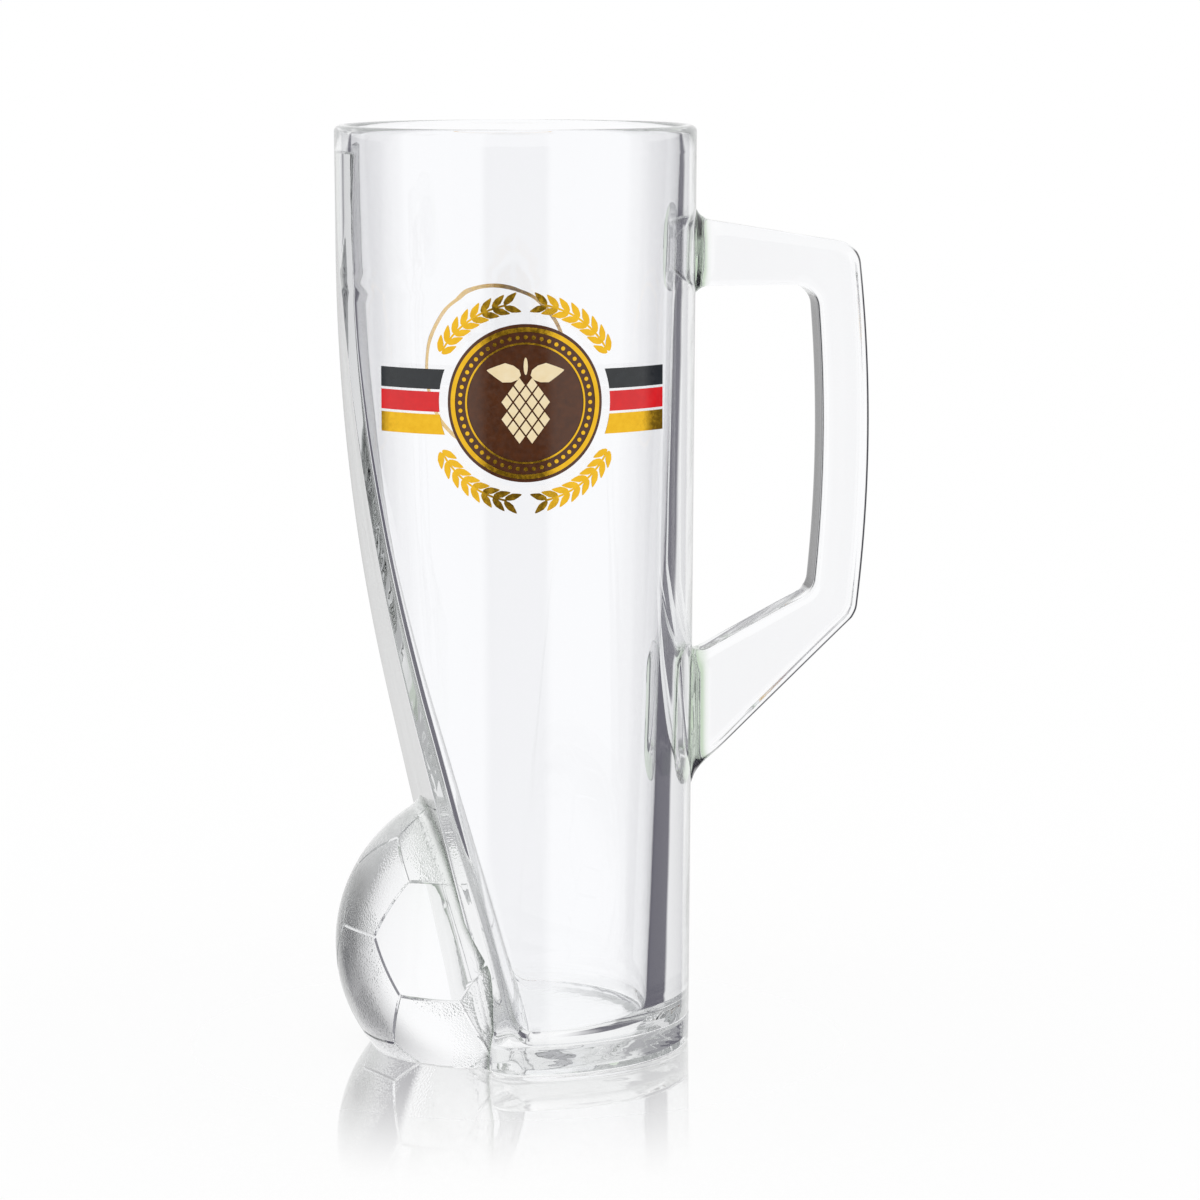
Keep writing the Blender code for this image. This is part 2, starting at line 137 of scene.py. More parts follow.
# Print: a belt of three stripes broken by a round badge, and a ring on the back
PRINT_LIFT = 0.00006
PRINT_FILM = 0.00010
PRINT_FRONT = math.radians(-95.0)
PRINT_BACK = math.radians(90.0)
BELT_BELOW_RIM = 0.0585
BELT_MIDDLE = MUG_HEIGHT - BELT_BELOW_RIM
BELT_SWEEP = math.radians(50.0)
STRIPE_HEIGHT = 0.00435
STRIPE_GAP = 0.00055
BADGE_RADIUS = 0.0171
BADGE_MARGIN = 0.0021
BACK_RING_RADIUS = 0.0190
BACK_RING_WIDTH = 0.00095

# Depth of the clear joint faces below the skin, so that no two faces lie in one place
JOINT_DEPTH = 0.0002
FILLET_START = 0.0003

# Mesh fineness
ARC_STEPS = 52
CORNER_STEPS = 8
FLAT_STEPS = 44
FLAT_CROWD = 1.6
ROUND_STEPS = 8
COARSE_STEP = 0.0022
RELIEF_STEP = 0.0006
FADE_ANGLE = math.radians(16.0)
ARM_STEPS = 26
ARM_CROWD = 2
BEND_STEPS = 10
GRIP_STEPS = 24
EDGE_STEPS = 5
FACE_STEPS = 8
SHARP_ANGLE = math.radians(40.0)
QUARTER_ANGLES = [math.pi / 2 * step / ROUND_STEPS for step in range(ROUND_STEPS + 1)]
QUARTER_TURN = [(math.sin(angle), math.cos(angle)) for angle in QUARTER_ANGLES]
CORNERS = ((1, 1), (-1, 1), (-1, -1), (1, -1))

# Every interval and both ends of a loft, for solids that only cut
MOST_RINGS = 600
EVERY = ("start", "end", *range(MOST_RINGS))

# Camera, from the photograph
CAMERA_PLACE = Vector((-0.15568, -0.98135, 0.23710))
CAMERA_AIM = Vector((0.1550, 0.9785, -0.1362))
LENS_MM = 133.04
SENSOR_MM = 36.0


def wall_radius(height):
    """Outer radius of the drafted round wall."""
    return BASE_RADIUS + (RIM_RADIUS - BASE_RADIUS) * height / MUG_HEIGHT


def cavity_radius(height):
    """Inner radius: the wall thickens steadily from the rim to the floor."""
    share = (height - FLOOR_HEIGHT) / (MUG_HEIGHT - FLOOR_HEIGHT)
    return wall_radius(height) - WALL_AT_FLOOR - (WALL_AT_RIM - WALL_AT_FLOOR) * share


AXIS = Vector((
    (BALL_OFFSET + BALL_RADIUS - wall_radius(HANDLE_TOP) - HANDLE_REACH - GRIP_BOW) / 2, 0.0, 0.0))
MOULD_LEVEL = MUG_HEIGHT - RIM_BAND_HEIGHT

# Barley ear pressed into the flat side
EAR_FOOT = 0.052
EAR_TOP = 0.128
RELIEF_PITCH = 0.0095
RELIEF_LENGTH = 0.0050
RELIEF_WIDTH = 0.0021
RELIEF_STEM = 0.0005
RELIEF_STEM_RAISE = 0.6
RELIEF_LEAN = math.radians(32.0)
RELIEF_LINE = 0.22
RELIEF_RAISE = 0.000008

# Ball skin: pebbled panels and clear ones, by the way they face
CLEAR_PANELS = (Vector((-0.45, -0.88, 0.10)), Vector((-0.45, 0.88, 0.10)))
PEBBLE = 0.00050
PEBBLE_DEPTH = 0.00006
PEBBLE_PATCH = 0.014
PEBBLE_WEAR = (0.40, 0.58, 0.35, 1.0)

# Printed ornaments
BADGE_RIM = (0.0164, 0.0154)
BADGE_LINE = (0.0131, 0.0127)
BEAD_COUNT = 52
BEAD_RING = 0.01425
BEAD_RADIUS = 0.00046
SCALE_WIDTH = 0.00135
SCALE_LENGTH = 0.00185
SCALE_COLUMNS = 7
SCALE_ROWS = 11
SCALE_SIDES = 4
SCALE_FILL = 0.84
CONE_WIDTH = 0.0050
CONE_HEIGHT = 0.0068
CONE_SWELL = 0.30
CONE_DROP = 0.0016
LEAF_WIDTH = 0.0021
LEAF_LENGTH = 0.0037
LEAF_TAPER = 0.75
LEAF_ACROSS = 0.0047
LEAF_UP = 0.0066
LEAF_TURN = math.radians(-82.0)
STEM_LENGTH = 0.0019
STEM_PLACE = (0.0, 0.0080, 0.0)
WREATH_RADIUS = 0.0215
WREATH_FROM = math.radians(31.0)
WREATH_TO = math.radians(79.0)
WREATH_STEPS = 24
GRAIN_PITCH = 0.0024
GRAIN_LENGTH = 0.0019
GRAIN_WIDTH = 0.00075
GRAIN_LEAN = math.radians(30.0)
GRAIN_SHIFT = 0.6
GRAIN_SIDES = 12
GRAIN_TAPER = 0.55
STALK_WIDTH = 0.00045
STALK_FINENESS = 0.4
PRINT_TURNS = 120
PRINT_CELLS = 30
STRIPE_ROWS = 4

# Glass
GLASS_CLEAR = (0.984, 0.987, 0.997, 1.0)
GLASS_GREEN = (0.56, 0.67, 0.53, 1.0)
# Painted shade: grey laid on the flat side where it turns away from the view, over a range of the facing
# weight
SLANT_PAINTED_SHADE = (0.45, 0.48, 0.46, 1.0)
SLANT = (0.55, 0.90)
# Painted shade: near-black glass colour laid on upright edges that turn away from the view, standing in for
# dark refracted edges; the outline strengths below set how much
PAINTED_EDGE_SHADE = (0.004, 0.004, 0.005, 1.0)
EDGE_TURN = (0.28, 0.55)
HANDLE_TURN = (0.60, 0.80)
BODY_TURN = (0.83, 0.95)
BODY_EDGE_SHADE = 1.0
EDGE_RISE = (0.35, 0.75)
HANDLE_EDGE_SHADE = 2.2
BALL_EDGE_SHADE = 0.8
GLASS_IOR = 1.52
RIPPLE_DRAW = (1.0, 1.0, 0.25)
RIPPLE_SIZE = 0.011
BODY_RIPPLE = 0.00004
FLOOR_RIPPLE = 9.0
FLOOR_RIPPLE_RISE = 0.0012
HANDLE_RIPPLE = 0.00003
HEEL_GREEN_TOP = 0.012
HEEL_GREEN = 0.05
ROOT_GREEN_REACH = 0.0032
ROOT_GREEN_FULL = 0.0008
# Dark green painted along the crease where the ball meets the flat side: partly the green of thick glass,
# mostly painted shade
JOINT_LINE_SHADE = (0.09, 0.125, 0.09, 1.0)
JOINT_LINE_REACH = 0.0016

# Print colours and grain
GOLD = (0.95, 0.58, 0.04, 1.0)
GOLD_DEEP = (0.80, 0.43, 0.02, 1.0)
GOLD_PALE = (0.98, 0.74, 0.46, 1.0)
INK = (0.92, 0.80, 0.56, 1.0)
INK_DEEP = (0.84, 0.66, 0.36, 1.0)
BROWN = (0.105, 0.030, 0.006, 1.0)
BROWN_DEEP = (0.045, 0.014, 0.004, 1.0)
BLACK = (0.008, 0.010, 0.012, 1.0)
BLACK_WORN = (0.020, 0.024, 0.028, 1.0)
RED = (0.78, 0.006, 0.010, 1.0)
RED_DEEP = (0.60, 0.004, 0.008, 1.0)
CLOUD_SIZE = 0.0016
GLOSS_SIZE = 0.0009
GRAIN_SIZE = 0.00025
GRAIN_DEPTH = 0.000006
GLOSS_CLOUD = (0.3, 0.7)
PRINT_GLOSS = (0.10, 0.24)

# Table and studio: reflections see dark walls between backdrop and soft boxes
TABLE_RADIUS = 3.0
TABLE_SIDES = 96
TABLE_WHITE = (0.995, 0.995, 0.995, 1.0)
FLOOR_DROP = 0.0002
POLISH = 0.60
POLISH_FROM = 0.035
POLISH_TO = 0.130
POLISH_BLUR = 0.004
TABLE_GLOW = 0.8
WHITE = (1.0, 1.0, 1.0, 1.0)
WALL_DARK = (0.135, 0.130, 0.160, 1.0)
STUDIO_WALLS = (
    (180.0, WHITE), (147.0, WHITE), (143.0, WALL_DARK), (96.0, WALL_DARK),
    (90.0, WHITE), (23.0, WHITE), (19.0, WALL_DARK),
)
CARD_PLACES = (math.radians(61.0), math.radians(-75.0))
CARD_HALF = math.radians(9.0)
CARD_SOFT = math.radians(1.5)
CAMERA_SIDE = math.radians(40.0)
BOUNCE_FADE = 0.5
BOUNCE_LOSS = 0.86
LOSS_TINT = (0.44, 0.455, 0.45, 1.0)
STEEP = 0.75
FIRST_PASS = 0.5
DEEP_PASS = 2.5
LIGHT_BOUNCES = 48


def facet_bow_radius():
    """Radius of the bow between the wall and the straight stretch that leans up from the heel."""
    cut = wall_radius(FACET_TOP) - FACET_HEEL
    spare = (FACET_TOP - HEEL_BEND) * math.tan(FACET_LEAN) - cut
    return spare / (1.0 / math.cos(FACET_LEAN) - 1.0)


def facet_distance(height):
    """Distance from the mug's axis to the facet at a height."""
    at_top = wall_radius(FACET_TOP)
    bow = facet_bow_radius()
    below_top = FACET_TOP - height
    if below_top <= 0.0:
        return NO_FACET
    if below_top < bow * math.sin(FACET_LEAN):
        return at_top - bow + math.sqrt(bow ** 2 - below_top ** 2)
    return FACET_HEEL + max(height - HEEL_BEND, 0.0) * math.tan(FACET_LEAN)


def ridge_round(height):
    """Rounding of the ridge between wall and facet, wider towards the foot."""
    share = min(height / RIDGE_FLARE_HEIGHT, 1.0)
    return RIDGE_ROUND_AT_FOOT + (RIDGE_ROUND - RIDGE_ROUND_AT_FOOT) * share


def section(radius, cut, corner):
    """A circle cut flat at x = -cut, its two corners rounded, anticlockwise from +X."""
    reach = radius - corner
    centre_x = corner - cut
    centre_y = math.sqrt(max(reach ** 2 - centre_x ** 2, 0.0))
    faded = cut >= radius or centre_y < radius * math.sin(FADE_ANGLE / 2)
    turn = math.pi - FADE_ANGLE if faded else math.atan2(centre_y, centre_x)
    half = []
    for step in range(ARC_STEPS):
        angle = turn * step / ARC_STEPS
        half.append((radius * math.cos(angle), radius * math.sin(angle)))
    for step in range(CORNER_STEPS):
        share = step / CORNER_STEPS
        if faded:
            angle = turn + share * FADE_ANGLE / 2
            half.append((radius * math.cos(angle), radius * math.sin(angle)))
        else:
            angle = turn + share * (math.pi - turn)
            half.append((centre_x + corner * math.cos(angle), centre_y + corner * math.sin(angle)))
    edge = radius * math.sin(FADE_ANGLE / 2) if faded else centre_y
    for step in range(FLAT_STEPS + 1):
        across = edge * (1.0 - step / FLAT_STEPS) ** FLAT_CROWD
        half.append((-min(cut, math.sqrt(radius ** 2 - across ** 2)), across))
    return half + [(x, -y) for x, y in half[-2:0:-1]]


def at_level(outline, level):
    """Flat outline as points at one height."""
    return [Vector((x, y, level)) for x, y in outline]


def outer_ring(height, inset=0.0, level=None):
    """Ring of points on the mug's outside at a height, drawn in by an inset and moved to a level."""
    corner = max(ridge_round(height) - inset, RIDGE_ROUND)
    outline = section(wall_radius(height) - inset, facet_distance(height) - inset, corner)
    return at_level(outline, height if level is None else level)


def cavity_ring(height, inset=0.0, in_lip=False):
    """Ring of points on the hollow's wall, flat behind the facet up to the mould line."""
    corner = max(CAVITY_CORNER - inset, RIDGE_ROUND)
    facet = min(facet_distance(height), wall_radius(FACET_TOP))
    cut = NO_FACET if in_lip else facet - FACET_WALL - inset
    return at_level(section(cavity_radius(height) - inset, cut, corner), height)


def levels(start, end, step):
    """Even heights from start to end, about one step apart."""
    count = max(1, round(abs(end - start) / step))
    return [start + (end - start) * index / count for index in range(count + 1)]


def shown(name, mesh, *finishes):
    """Link a mesh as a smooth object with its finishes."""
    for finish in finishes:
        mesh.materials.append(finish)
    mesh.shade_smooth()
    mesh.set_sharp_from_angle(angle=SHARP_ANGLE)
    made = bpy.data.objects.new(name, mesh)
    bpy.context.scene.collection.objects.link(made)
    return made


def loft(name, rings, joints=(), closed=False):
    """Skin a run of rings; the intervals named in joints get the clear joint finish."""
    mesh = bpy.data.meshes.new(name)
    shape = bmesh.new()
    rows = [[shape.verts.new(point) for point in ring] for ring in rings]
    pairs = list(zip(rows, rows[1:]))
    if closed:
        pairs.append((rows[-1], rows[0]))
    else:
        shape.faces.new(reversed(rows[0])).material_index = int("start" in joints)
        shape.faces.new(rows[-1]).material_index = int("end" in joints)
    size = len(rows[0])
    for order, (low, high) in enumerate(pairs):
        finish = int(order in joints)
        for step in range(size):
            after = (step + 1) % size
            face = shape.faces.new((low[step], low[after], high[after], high[step]))
            face.material_index = finish
    bmesh.ops.recalc_face_normals(shape, faces=shape.faces)
    shape.to_mesh(mesh)
    shape.free()
    return mesh


def mark(mesh, label, values):
    """Give every point of a mesh its own value under one label."""
    mesh.attributes.new(label, "FLOAT", "POINT").data.foreach_set("value", values)


def joint_nearness(mesh, reach):
    """For each point, 1 on the line where skin and joint faces meet, falling to 0 at a reach from it."""
    kinds = [set() for point in mesh.vertices]
    for face in mesh.polygons:
        for point in face.vertices:
            kinds[point].add(face.material_index)
    line = [point.co for point, kind in zip(mesh.vertices, kinds) if len(kind) > 1]
    finder = KDTree(len(line))
    for number, place in enumerate(line):
        finder.insert(place, number)
    finder.balance()
    return [max(0.0, 1.0 - finder.find(point.co)[2] / reach) for point in mesh.vertices]


def settled(made):
    """Turn an object's modifiers into its plain mesh."""
    evaluated = made.evaluated_get(bpy.context.evaluated_depsgraph_get())
    mesh = bpy.data.meshes.new_from_object(evaluated)
    mesh.set_sharp_from_angle(angle=SHARP_ANGLE)
    made.modifiers.clear()
    made.data = mesh
    return made


def carve(made, *cutters):
    """Cut solids out of a piece; the new faces keep the cutters' finish."""
    for cutter in cutters:
        modifier = made.modifiers.new("Cut", "BOOLEAN")
        modifier.operation = "DIFFERENCE"
        modifier.solver = "MANIFOLD"
        modifier.object = cutter
    return settled(made)


def drop(*objects):
    """Remove helper solids."""
    for helper in objects:
        bpy.data.objects.remove(helper)


def fillet(distance, radius):
    """How far a root flares out at a distance from the wall that it grows from."""
    depth = max(distance, 0.0) + FILLET_START
    if depth >= radius:
        return 0.0
    return radius - math.sqrt(radius ** 2 - (radius - depth) ** 2)


def wall_levels():
    """Heights of the outer wall's rings, fine where the flat side carries its relief."""
    heights = levels(FOOT_HEIGHT + MOULD_GROOVE, HEEL_BEND, COARSE_STEP)
    heights += levels(HEEL_BEND, EAR_FOOT, COARSE_STEP)[1:]
    heights += levels(EAR_FOOT, EAR_TOP, RELIEF_STEP)[1:]
    heights += levels(EAR_TOP, MOULD_LEVEL - MOULD_GROOVE, COARSE_STEP)[1:]
    return heights


def heel_rings(inset=0.0):
    """Rings of the heel's outside, from the table to the mould line above it."""
    rings = []
    for sine, cosine in QUARTER_TURN:
        rings.append(outer_ring(FOOT_EDGE * (1.0 - cosine), FOOT_EDGE * (1.0 - sine) + inset))
    rings.append(outer_ring(FOOT_HEIGHT - MOULD_GROOVE, inset))
    rings.append(outer_ring(FOOT_HEIGHT, MOULD_LINE + inset))
    return rings


def wall_rings(inset=0.0):
    """Rings of the bowl's outside, from the heel's mould line to the lip's."""
    rings = [outer_ring(FOOT_HEIGHT, MOULD_LINE + inset)]
    rings += [outer_ring(height, inset) for height in wall_levels()]
    rings.append(outer_ring(MOULD_LEVEL, inset))
    return rings


def make_bowl(glass, joint):
    """Wall, hollow and floor, with the points of the flat side marked for its relief."""
    seat = outer_ring(FOOT_HEIGHT, FOOT_SEAT_WIDTH, FOOT_PLATE)
    outside = wall_rings()
    inside = [cavity_ring(MOULD_LEVEL, in_lip=True)]
    floor_start = FLOOR_HEIGHT + FLOOR_ROUND
    inside += [cavity_ring(h) for h in levels(MOULD_LEVEL - LEDGE_ROUND, floor_start, COARSE_STEP)]
    for sine, cosine in QUARTER_TURN[1:]:
        inside.append(cavity_ring(FLOOR_HEIGHT + FLOOR_ROUND * (1.0 - sine), FLOOR_ROUND * (1.0 - cosine)))
    mesh = loft("bowl", [seat] + outside + inside, joints=("start", 0, len(outside)))
    size = len(seat)
    flat_from = ARC_STEPS + CORNER_STEPS + 1
    flat_points = [float(flat_from <= step <= size - flat_from) for step in range(size)]
    bare = [0.0] * size
    mark(mesh, "facet", bare * 2 + flat_points * (len(outside) - 2) + bare * (len(inside) + 1))
    return shown("bowl_glass", mesh, glass, joint)


def make_lip(glass, joint):
    """Fire-polished lip above the mould line."""
    lip_level = MUG_HEIGHT - LIP_ROUND
    rings = [outer_ring(MOULD_LEVEL)]
    for sine, cosine in QUARTER_TURN:
        rings.append(outer_ring(lip_level + LIP_ROUND * sine, LIP_ROUND * (1.0 - cosine)))
    for sine, cosine in reversed(QUARTER_TURN):
        rings.append(cavity_ring(lip_level + LIP_ROUND * sine, -LIP_ROUND * (1.0 - cosine), in_lip=True))
    rings.append(cavity_ring(MOULD_LEVEL, in_lip=True))
    return shown("lip_glass", loft("lip", rings, joints=(len(rings) - 1,), closed=True), glass, joint)


def make_heel(glass, joint):
    """Heavy heel with its bearing ring and recess, dished on top under the bowl's floor."""
    rings = [
        outer_ring(0.0, BEARING_WIDTH + RECESS_DEPTH, RECESS_DEPTH),
        outer_ring(0.0, BEARING_WIDTH),
    ]
    rings += heel_rings()
    rings.append(outer_ring(FOOT_HEIGHT, FOOT_SEAT_WIDTH, FOOT_PLATE))
    return shown("heel_glass", loft("heel", rings, joints=("end", len(rings) - 2)), glass, joint)


def bend(before, corner, after, radius):
    """Tangent arc that rounds a corner of a rail."""
    to_before = (before - corner).normalized()
    to_after = (after - corner).normalized()
    half_angle = to_before.angle(to_after) / 2
    centre = corner + (to_before + to_after).normalized() * radius / math.sin(half_angle)
    start = corner + to_before * radius / math.tan(half_angle) - centre
    end = corner + to_after * radius / math.tan(half_angle) - centre
    sweep = start.angle_signed(end)
    turns = [Matrix.Rotation(-sweep * step / BEND_STEPS, 2) for step in range(BEND_STEPS + 1)]
    return [centre + turn @ start for turn in turns]


def rail(*corners):
    """One edge of the handle, rooted inside the wall: arm, bend, bowed grip, bend, arm."""
    root, high, low, foot = [Vector(corner) for corner in corners]
    root += (root - high).normalized() * HANDLE_ROOT
    foot += (foot - low).normalized() * HANDLE_ROOT
    upper_bend = bend(root, high, low, HANDLE_CORNER)
    lower_bend = bend(high, low, foot, HANDLE_CORNER)
    shares = [(step / ARM_STEPS) ** ARM_CROWD for step in range(ARM_STEPS)]
    points = [root.lerp(upper_bend[0], share) for share in shares]
    points += upper_bend
    points += [upper_bend[-1].lerp(lower_bend[0], step / GRIP_STEPS) for step in range(1, GRIP_STEPS)]
    points += lower_bend
    points += [foot.lerp(lower_bend[-1], share) for share in reversed(shares)]
    middle = (HANDLE_TOP - UPPER_ARM_FALL + GRIP_BOTTOM) / 2
    bow_from = wall_radius(HANDLE_TOP) + HANDLE_REACH - GRIP_WIDTH - 2 * HANDLE_CORNER
    bowed = []
    for point in points:
        along = min(max((point.x - bow_from) / (2 * HANDLE_CORNER), 0.0), 1.0)
        share = (point.y - middle) / (GRIP_LENGTH / 2)
        lift = GRIP_BOW * max(0.0, 1.0 - share ** 2) * along
        bowed.append(Vector((point.x + lift, point.y)))
    return bowed


def handle_rails():
    """Outer and inner edge of the handle in the XZ plane, each by its four corners."""
    arm_top = GRIP_BOTTOM - LOWER_ARM_FALL
    arm_bottom = arm_top - LOWER_ARM_DEPTH
    gap_top = HANDLE_TOP - UPPER_ARM_DEPTH
    top_wall = wall_radius(HANDLE_TOP)
    low_wall = wall_radius(arm_bottom)
    outer_x = top_wall + HANDLE_REACH
    inner_x = outer_x - GRIP_WIDTH
    outer = rail((top_wall, HANDLE_TOP), (outer_x, HANDLE_TOP - UPPER_ARM_FALL),
                 (outer_x, GRIP_BOTTOM), (low_wall, arm_bottom))
    inner = rail((top_wall, gap_top), (inner_x, gap_top),
                 (inner_x, GRIP_BOTTOM + FINGER_GAP_LIFT), (low_wall, arm_top))
    return outer, inner


def handle_ring(inner, outer):
    """Rounded cross-section between two rail points, flared where it meets the wall."""
    middle = (inner + outer) / 2
    across = (outer - inner).normalized()
    off_wall = min(max(middle.x - wall_radius(middle.y), 0.0) / ROOT_REACH, 1.0)
    edge = ROOT_EDGE + (HANDLE_EDGE - ROOT_EDGE) * math.sin(math.pi / 2 * off_wall)
    half_width = (outer - inner).length / 2 - edge
    half_thick = HANDLE_THICKNESS / 2 - edge
    spots = []
    for quarter, (side, face) in enumerate(CORNERS):
        for step in range(EDGE_STEPS + 1):
            angle = math.pi / 2 * (quarter + step / EDGE_STEPS)
            facing = Vector((math.cos(angle), math.sin(angle)))
            spots.append((Vector((side * half_width, face * half_thick)) + facing * edge, facing))
        next_side, next_face = CORNERS[(quarter + 1) % len(CORNERS)]
        corner = Vector((next_side * half_width, next_face * half_thick)) + facing * edge
        last = spots[-1][0]
        spots += [(last.lerp(corner, step / FACE_STEPS), facing) for step in range(1, FACE_STEPS)]
    ring = []
    for spot, facing in spots:
        place = Vector((middle.x + across.x * spot.x, spot.y, middle.y + across.y * spot.x))
        outward = Vector((across.x * facing.x, facing.y, across.y * facing.x))
        from_wall = math.hypot(place.x, place.y) - wall_radius(place.z)
        ring.append(place + outward * fillet(from_wall, HANDLE_FILLET))
    return ring


def cutting_solid(name, rings, *finishes):
    """Solid that leaves its second finish on the faces it cuts."""
    return shown(name, loft(name, rings, joints=EVERY), *finishes)


def make_handle(glass, joint):
    """Angular handle with rounded edges; returns it with the plug that sinks into the wall."""
    outer, inner = handle_rails()
    rings = [handle_ring(low, high) for low, high in zip(inner, outer)]
    mesh = loft("handle", rings)
    rounded = [math.sin(math.pi * step / EDGE_STEPS) for step in range(EDGE_STEPS + 1)]
    flat = [0.0] * (FACE_STEPS - 1)
    mark(mesh, "rounded", (rounded + flat) * len(CORNERS) * len(rings))
    handle = shown("handle_glass", mesh, glass, joint)
    plug = shown("handle_plug", loft("handle_plug", rings), joint, joint)
    skin = cutting_solid("wall_skin", wall_rings(), glass, joint)
    core = cutting_solid("wall_core", wall_rings(JOINT_DEPTH), glass, joint)
    carve(handle, skin)
    carve(plug, core)
    drop(skin, core)
    return handle, plug


def side_rings(inset=0.0):
    """Rings of the mug's outside next to the ball, carried on below the table."""
    below = outer_ring(0.0, FOOT_EDGE + inset, BELOW_TABLE)
    return [below] + heel_rings(inset)[:-1] + wall_rings(inset)[:-1]


def ball_mesh():
    """Whole ball of sewn panels, flared next to the flat side and pebbled but for the clear panels."""
    mesh = bpy.data.meshes.new("football")
    shape = bmesh.new()
    in_seam = shape.verts.layers.float.new("in_seam")
    pebbled = shape.verts.layers.float.new("pebbled")
    bmesh.ops.create_icosphere(shape, subdivisions=1, radius=BALL_RADIUS)
    edge_length = shape.edges[:][0].calc_length()
    bmesh.ops.bevel(
        shape, geom=shape.verts[:], offset=edge_length / PANELS_PER_EDGE, offset_type="OFFSET",
        segments=1, profile=0.5, affect="VERTICES",
    )
    turn = Matrix.Rotation(BALL_TURN, 3, "Z")
    bmesh.ops.rotate(shape, verts=shape.verts, matrix=turn)
    seam_points = set(shape.verts)
    panels = shape.faces[:]
    bmesh.ops.inset_individual(shape, faces=panels, thickness=PANEL_SEAM_WIDTH, use_even_offset=True)
    clear = [max(panels, key=lambda face: face.normal.dot(facing)) for facing in CLEAR_PANELS]
    for face in panels:
        for vert in face.verts:
            vert[pebbled] = 0.0 if face in clear else 1.0
    middles = bmesh.ops.poke(shape, faces=panels)["verts"]
    for vert in middles:
        vert[pebbled] = min(edge.other_vert(vert)[pebbled] for edge in vert.link_edges)
    for vert in seam_points:
        vert[in_seam] = 1.0
    along = [edge for edge in shape.edges if sum(vert in seam_points for vert in edge.verts) != 1]
    bmesh.ops.subdivide_edges(shape, edges=along, cuts=PANEL_CUTS, use_grid_fill=True)
    centre = Vector((-BALL_OFFSET, 0.0, BALL_HEIGHT))
    for vert in shape.verts:
        place = centre + vert.co.normalized() * (BALL_RADIUS - PANEL_SEAM_DEPTH * vert[in_seam])
        if place.z > 0.0:
            from_facet = -place.x - facet_distance(place.z)
            outward = Vector((0.0, place.y, place.z - BALL_HEIGHT)).normalized()
            place += outward * fillet(from_facet, BALL_FILLET)
        vert.co = place
    bmesh.ops.recalc_face_normals(shape, faces=shape.faces)
    shape.to_mesh(mesh)
    shape.free()
    mark(mesh, "rounded", [1.0] * len(mesh.vertices))
    return mesh


def make_ball(glass, joint):
    """Ball cut by the flat side and the table; returns it with the plug that sinks into the side."""
    mesh = ball_mesh()
    plug = shown("football_plug", mesh.copy(), joint, joint)
    ball = shown("football_glass", mesh, glass, joint)
    skin = cutting_solid("side_skin", side_rings(), glass, joint)
    core = cutting_solid("side_core", side_rings(JOINT_DEPTH), glass, joint)
    square = [(x * CUTTER_REACH, y * CUTTER_REACH) for x, y in CORNERS]
    table = cutting_solid("table", [at_level(square, -CUTTER_REACH), at_level(square, 0.0)], glass, glass)
    carve(ball, skin, table)
    # Nearness to the joint line, which the ball's finish darkens as painted shade along the crease
    mark(ball.data, "at_joint", joint_nearness(ball.data, JOINT_LINE_REACH))
    carve(plug, core)
    drop(skin, core, table)
    return ball, plug


def node_sum(operation, swapped=False):
    """Method of a Number that adds one sum node to its tree."""
    def result(self, *others):
        values = (*others, self) if swapped else (self, *others)
        return reckon(self.tree, operation, *values)
    return result


class Number:
    """A number in a node tree. Plain arithmetic on it adds the nodes that work it out."""

    __add__ = node_sum("ADD")
    __radd__ = node_sum("ADD", swapped=True)
    __sub__ = node_sum("SUBTRACT")
    __rsub__ = node_sum("SUBTRACT", swapped=True)
    __mul__ = node_sum("MULTIPLY")
    __truediv__ = node_sum("DIVIDE")
    __pow__ = node_sum("POWER")
    __rpow__ = node_sum("POWER", swapped=True)
    __abs__ = node_sum("ABSOLUTE")
    __gt__ = node_sum("GREATER_THAN")
    __lt__ = node_sum("LESS_THAN")
    at_least = node_sum("MAXIMUM")

    def __init__(self, tree, socket):
        self.tree = tree
        self.socket = socket

    def ranged(self, low, high, start=0.0, end=1.0):
        """This number carried smoothly from one range to another."""
        feeds = {"Value": self, "From Min": low, "From Max": high, "To Min": start, "To Max": end}
        node = add(self.tree, "ShaderNodeMapRange", feeds, interpolation_type="SMOOTHSTEP")
        return Number(self.tree, node.outputs[0])


def feed(tree, node, feeds):
    """Feed a node's inputs: a socket is linked, a value is set."""
    for place, source in feeds.items():
        if isinstance(source, Number):
            source = source.socket
        if isinstance(source, bpy.types.NodeSocket):
            tree.links.new(source, node.inputs[place])
        else:
            node.inputs[place].default_value = source


def add(tree, kind, feeds=None, **options):
    """Add a node, set its options and feed its inputs."""
    node = tree.nodes.new(kind)
    for option, value in options.items():
        setattr(node, option, value)
    feed(tree, node, feeds or {})
    return node


def reckon(tree, operation, *values):
    """Result of one sum on numbers."""
    node = add(tree, "ShaderNodeMath", dict(enumerate(values)), operation=operation)
    return Number(tree, node.outputs[0])


def vector_sum(tree, operation, *values):
    """Outputs of one sum on vectors."""
    return add(tree, "ShaderNodeVectorMath", dict(enumerate(values)), operation=operation).outputs


def spread(tree, spot):
    """The three numbers of a vector."""
    return [Number(tree, part) for part in add(tree, "ShaderNodeSeparateXYZ", {0: spot}).outputs]


def vector(tree, **parts):
    """Vector from the numbers named X, Y and Z."""
    return add(tree, "ShaderNodeCombineXYZ", parts).outputs[0]


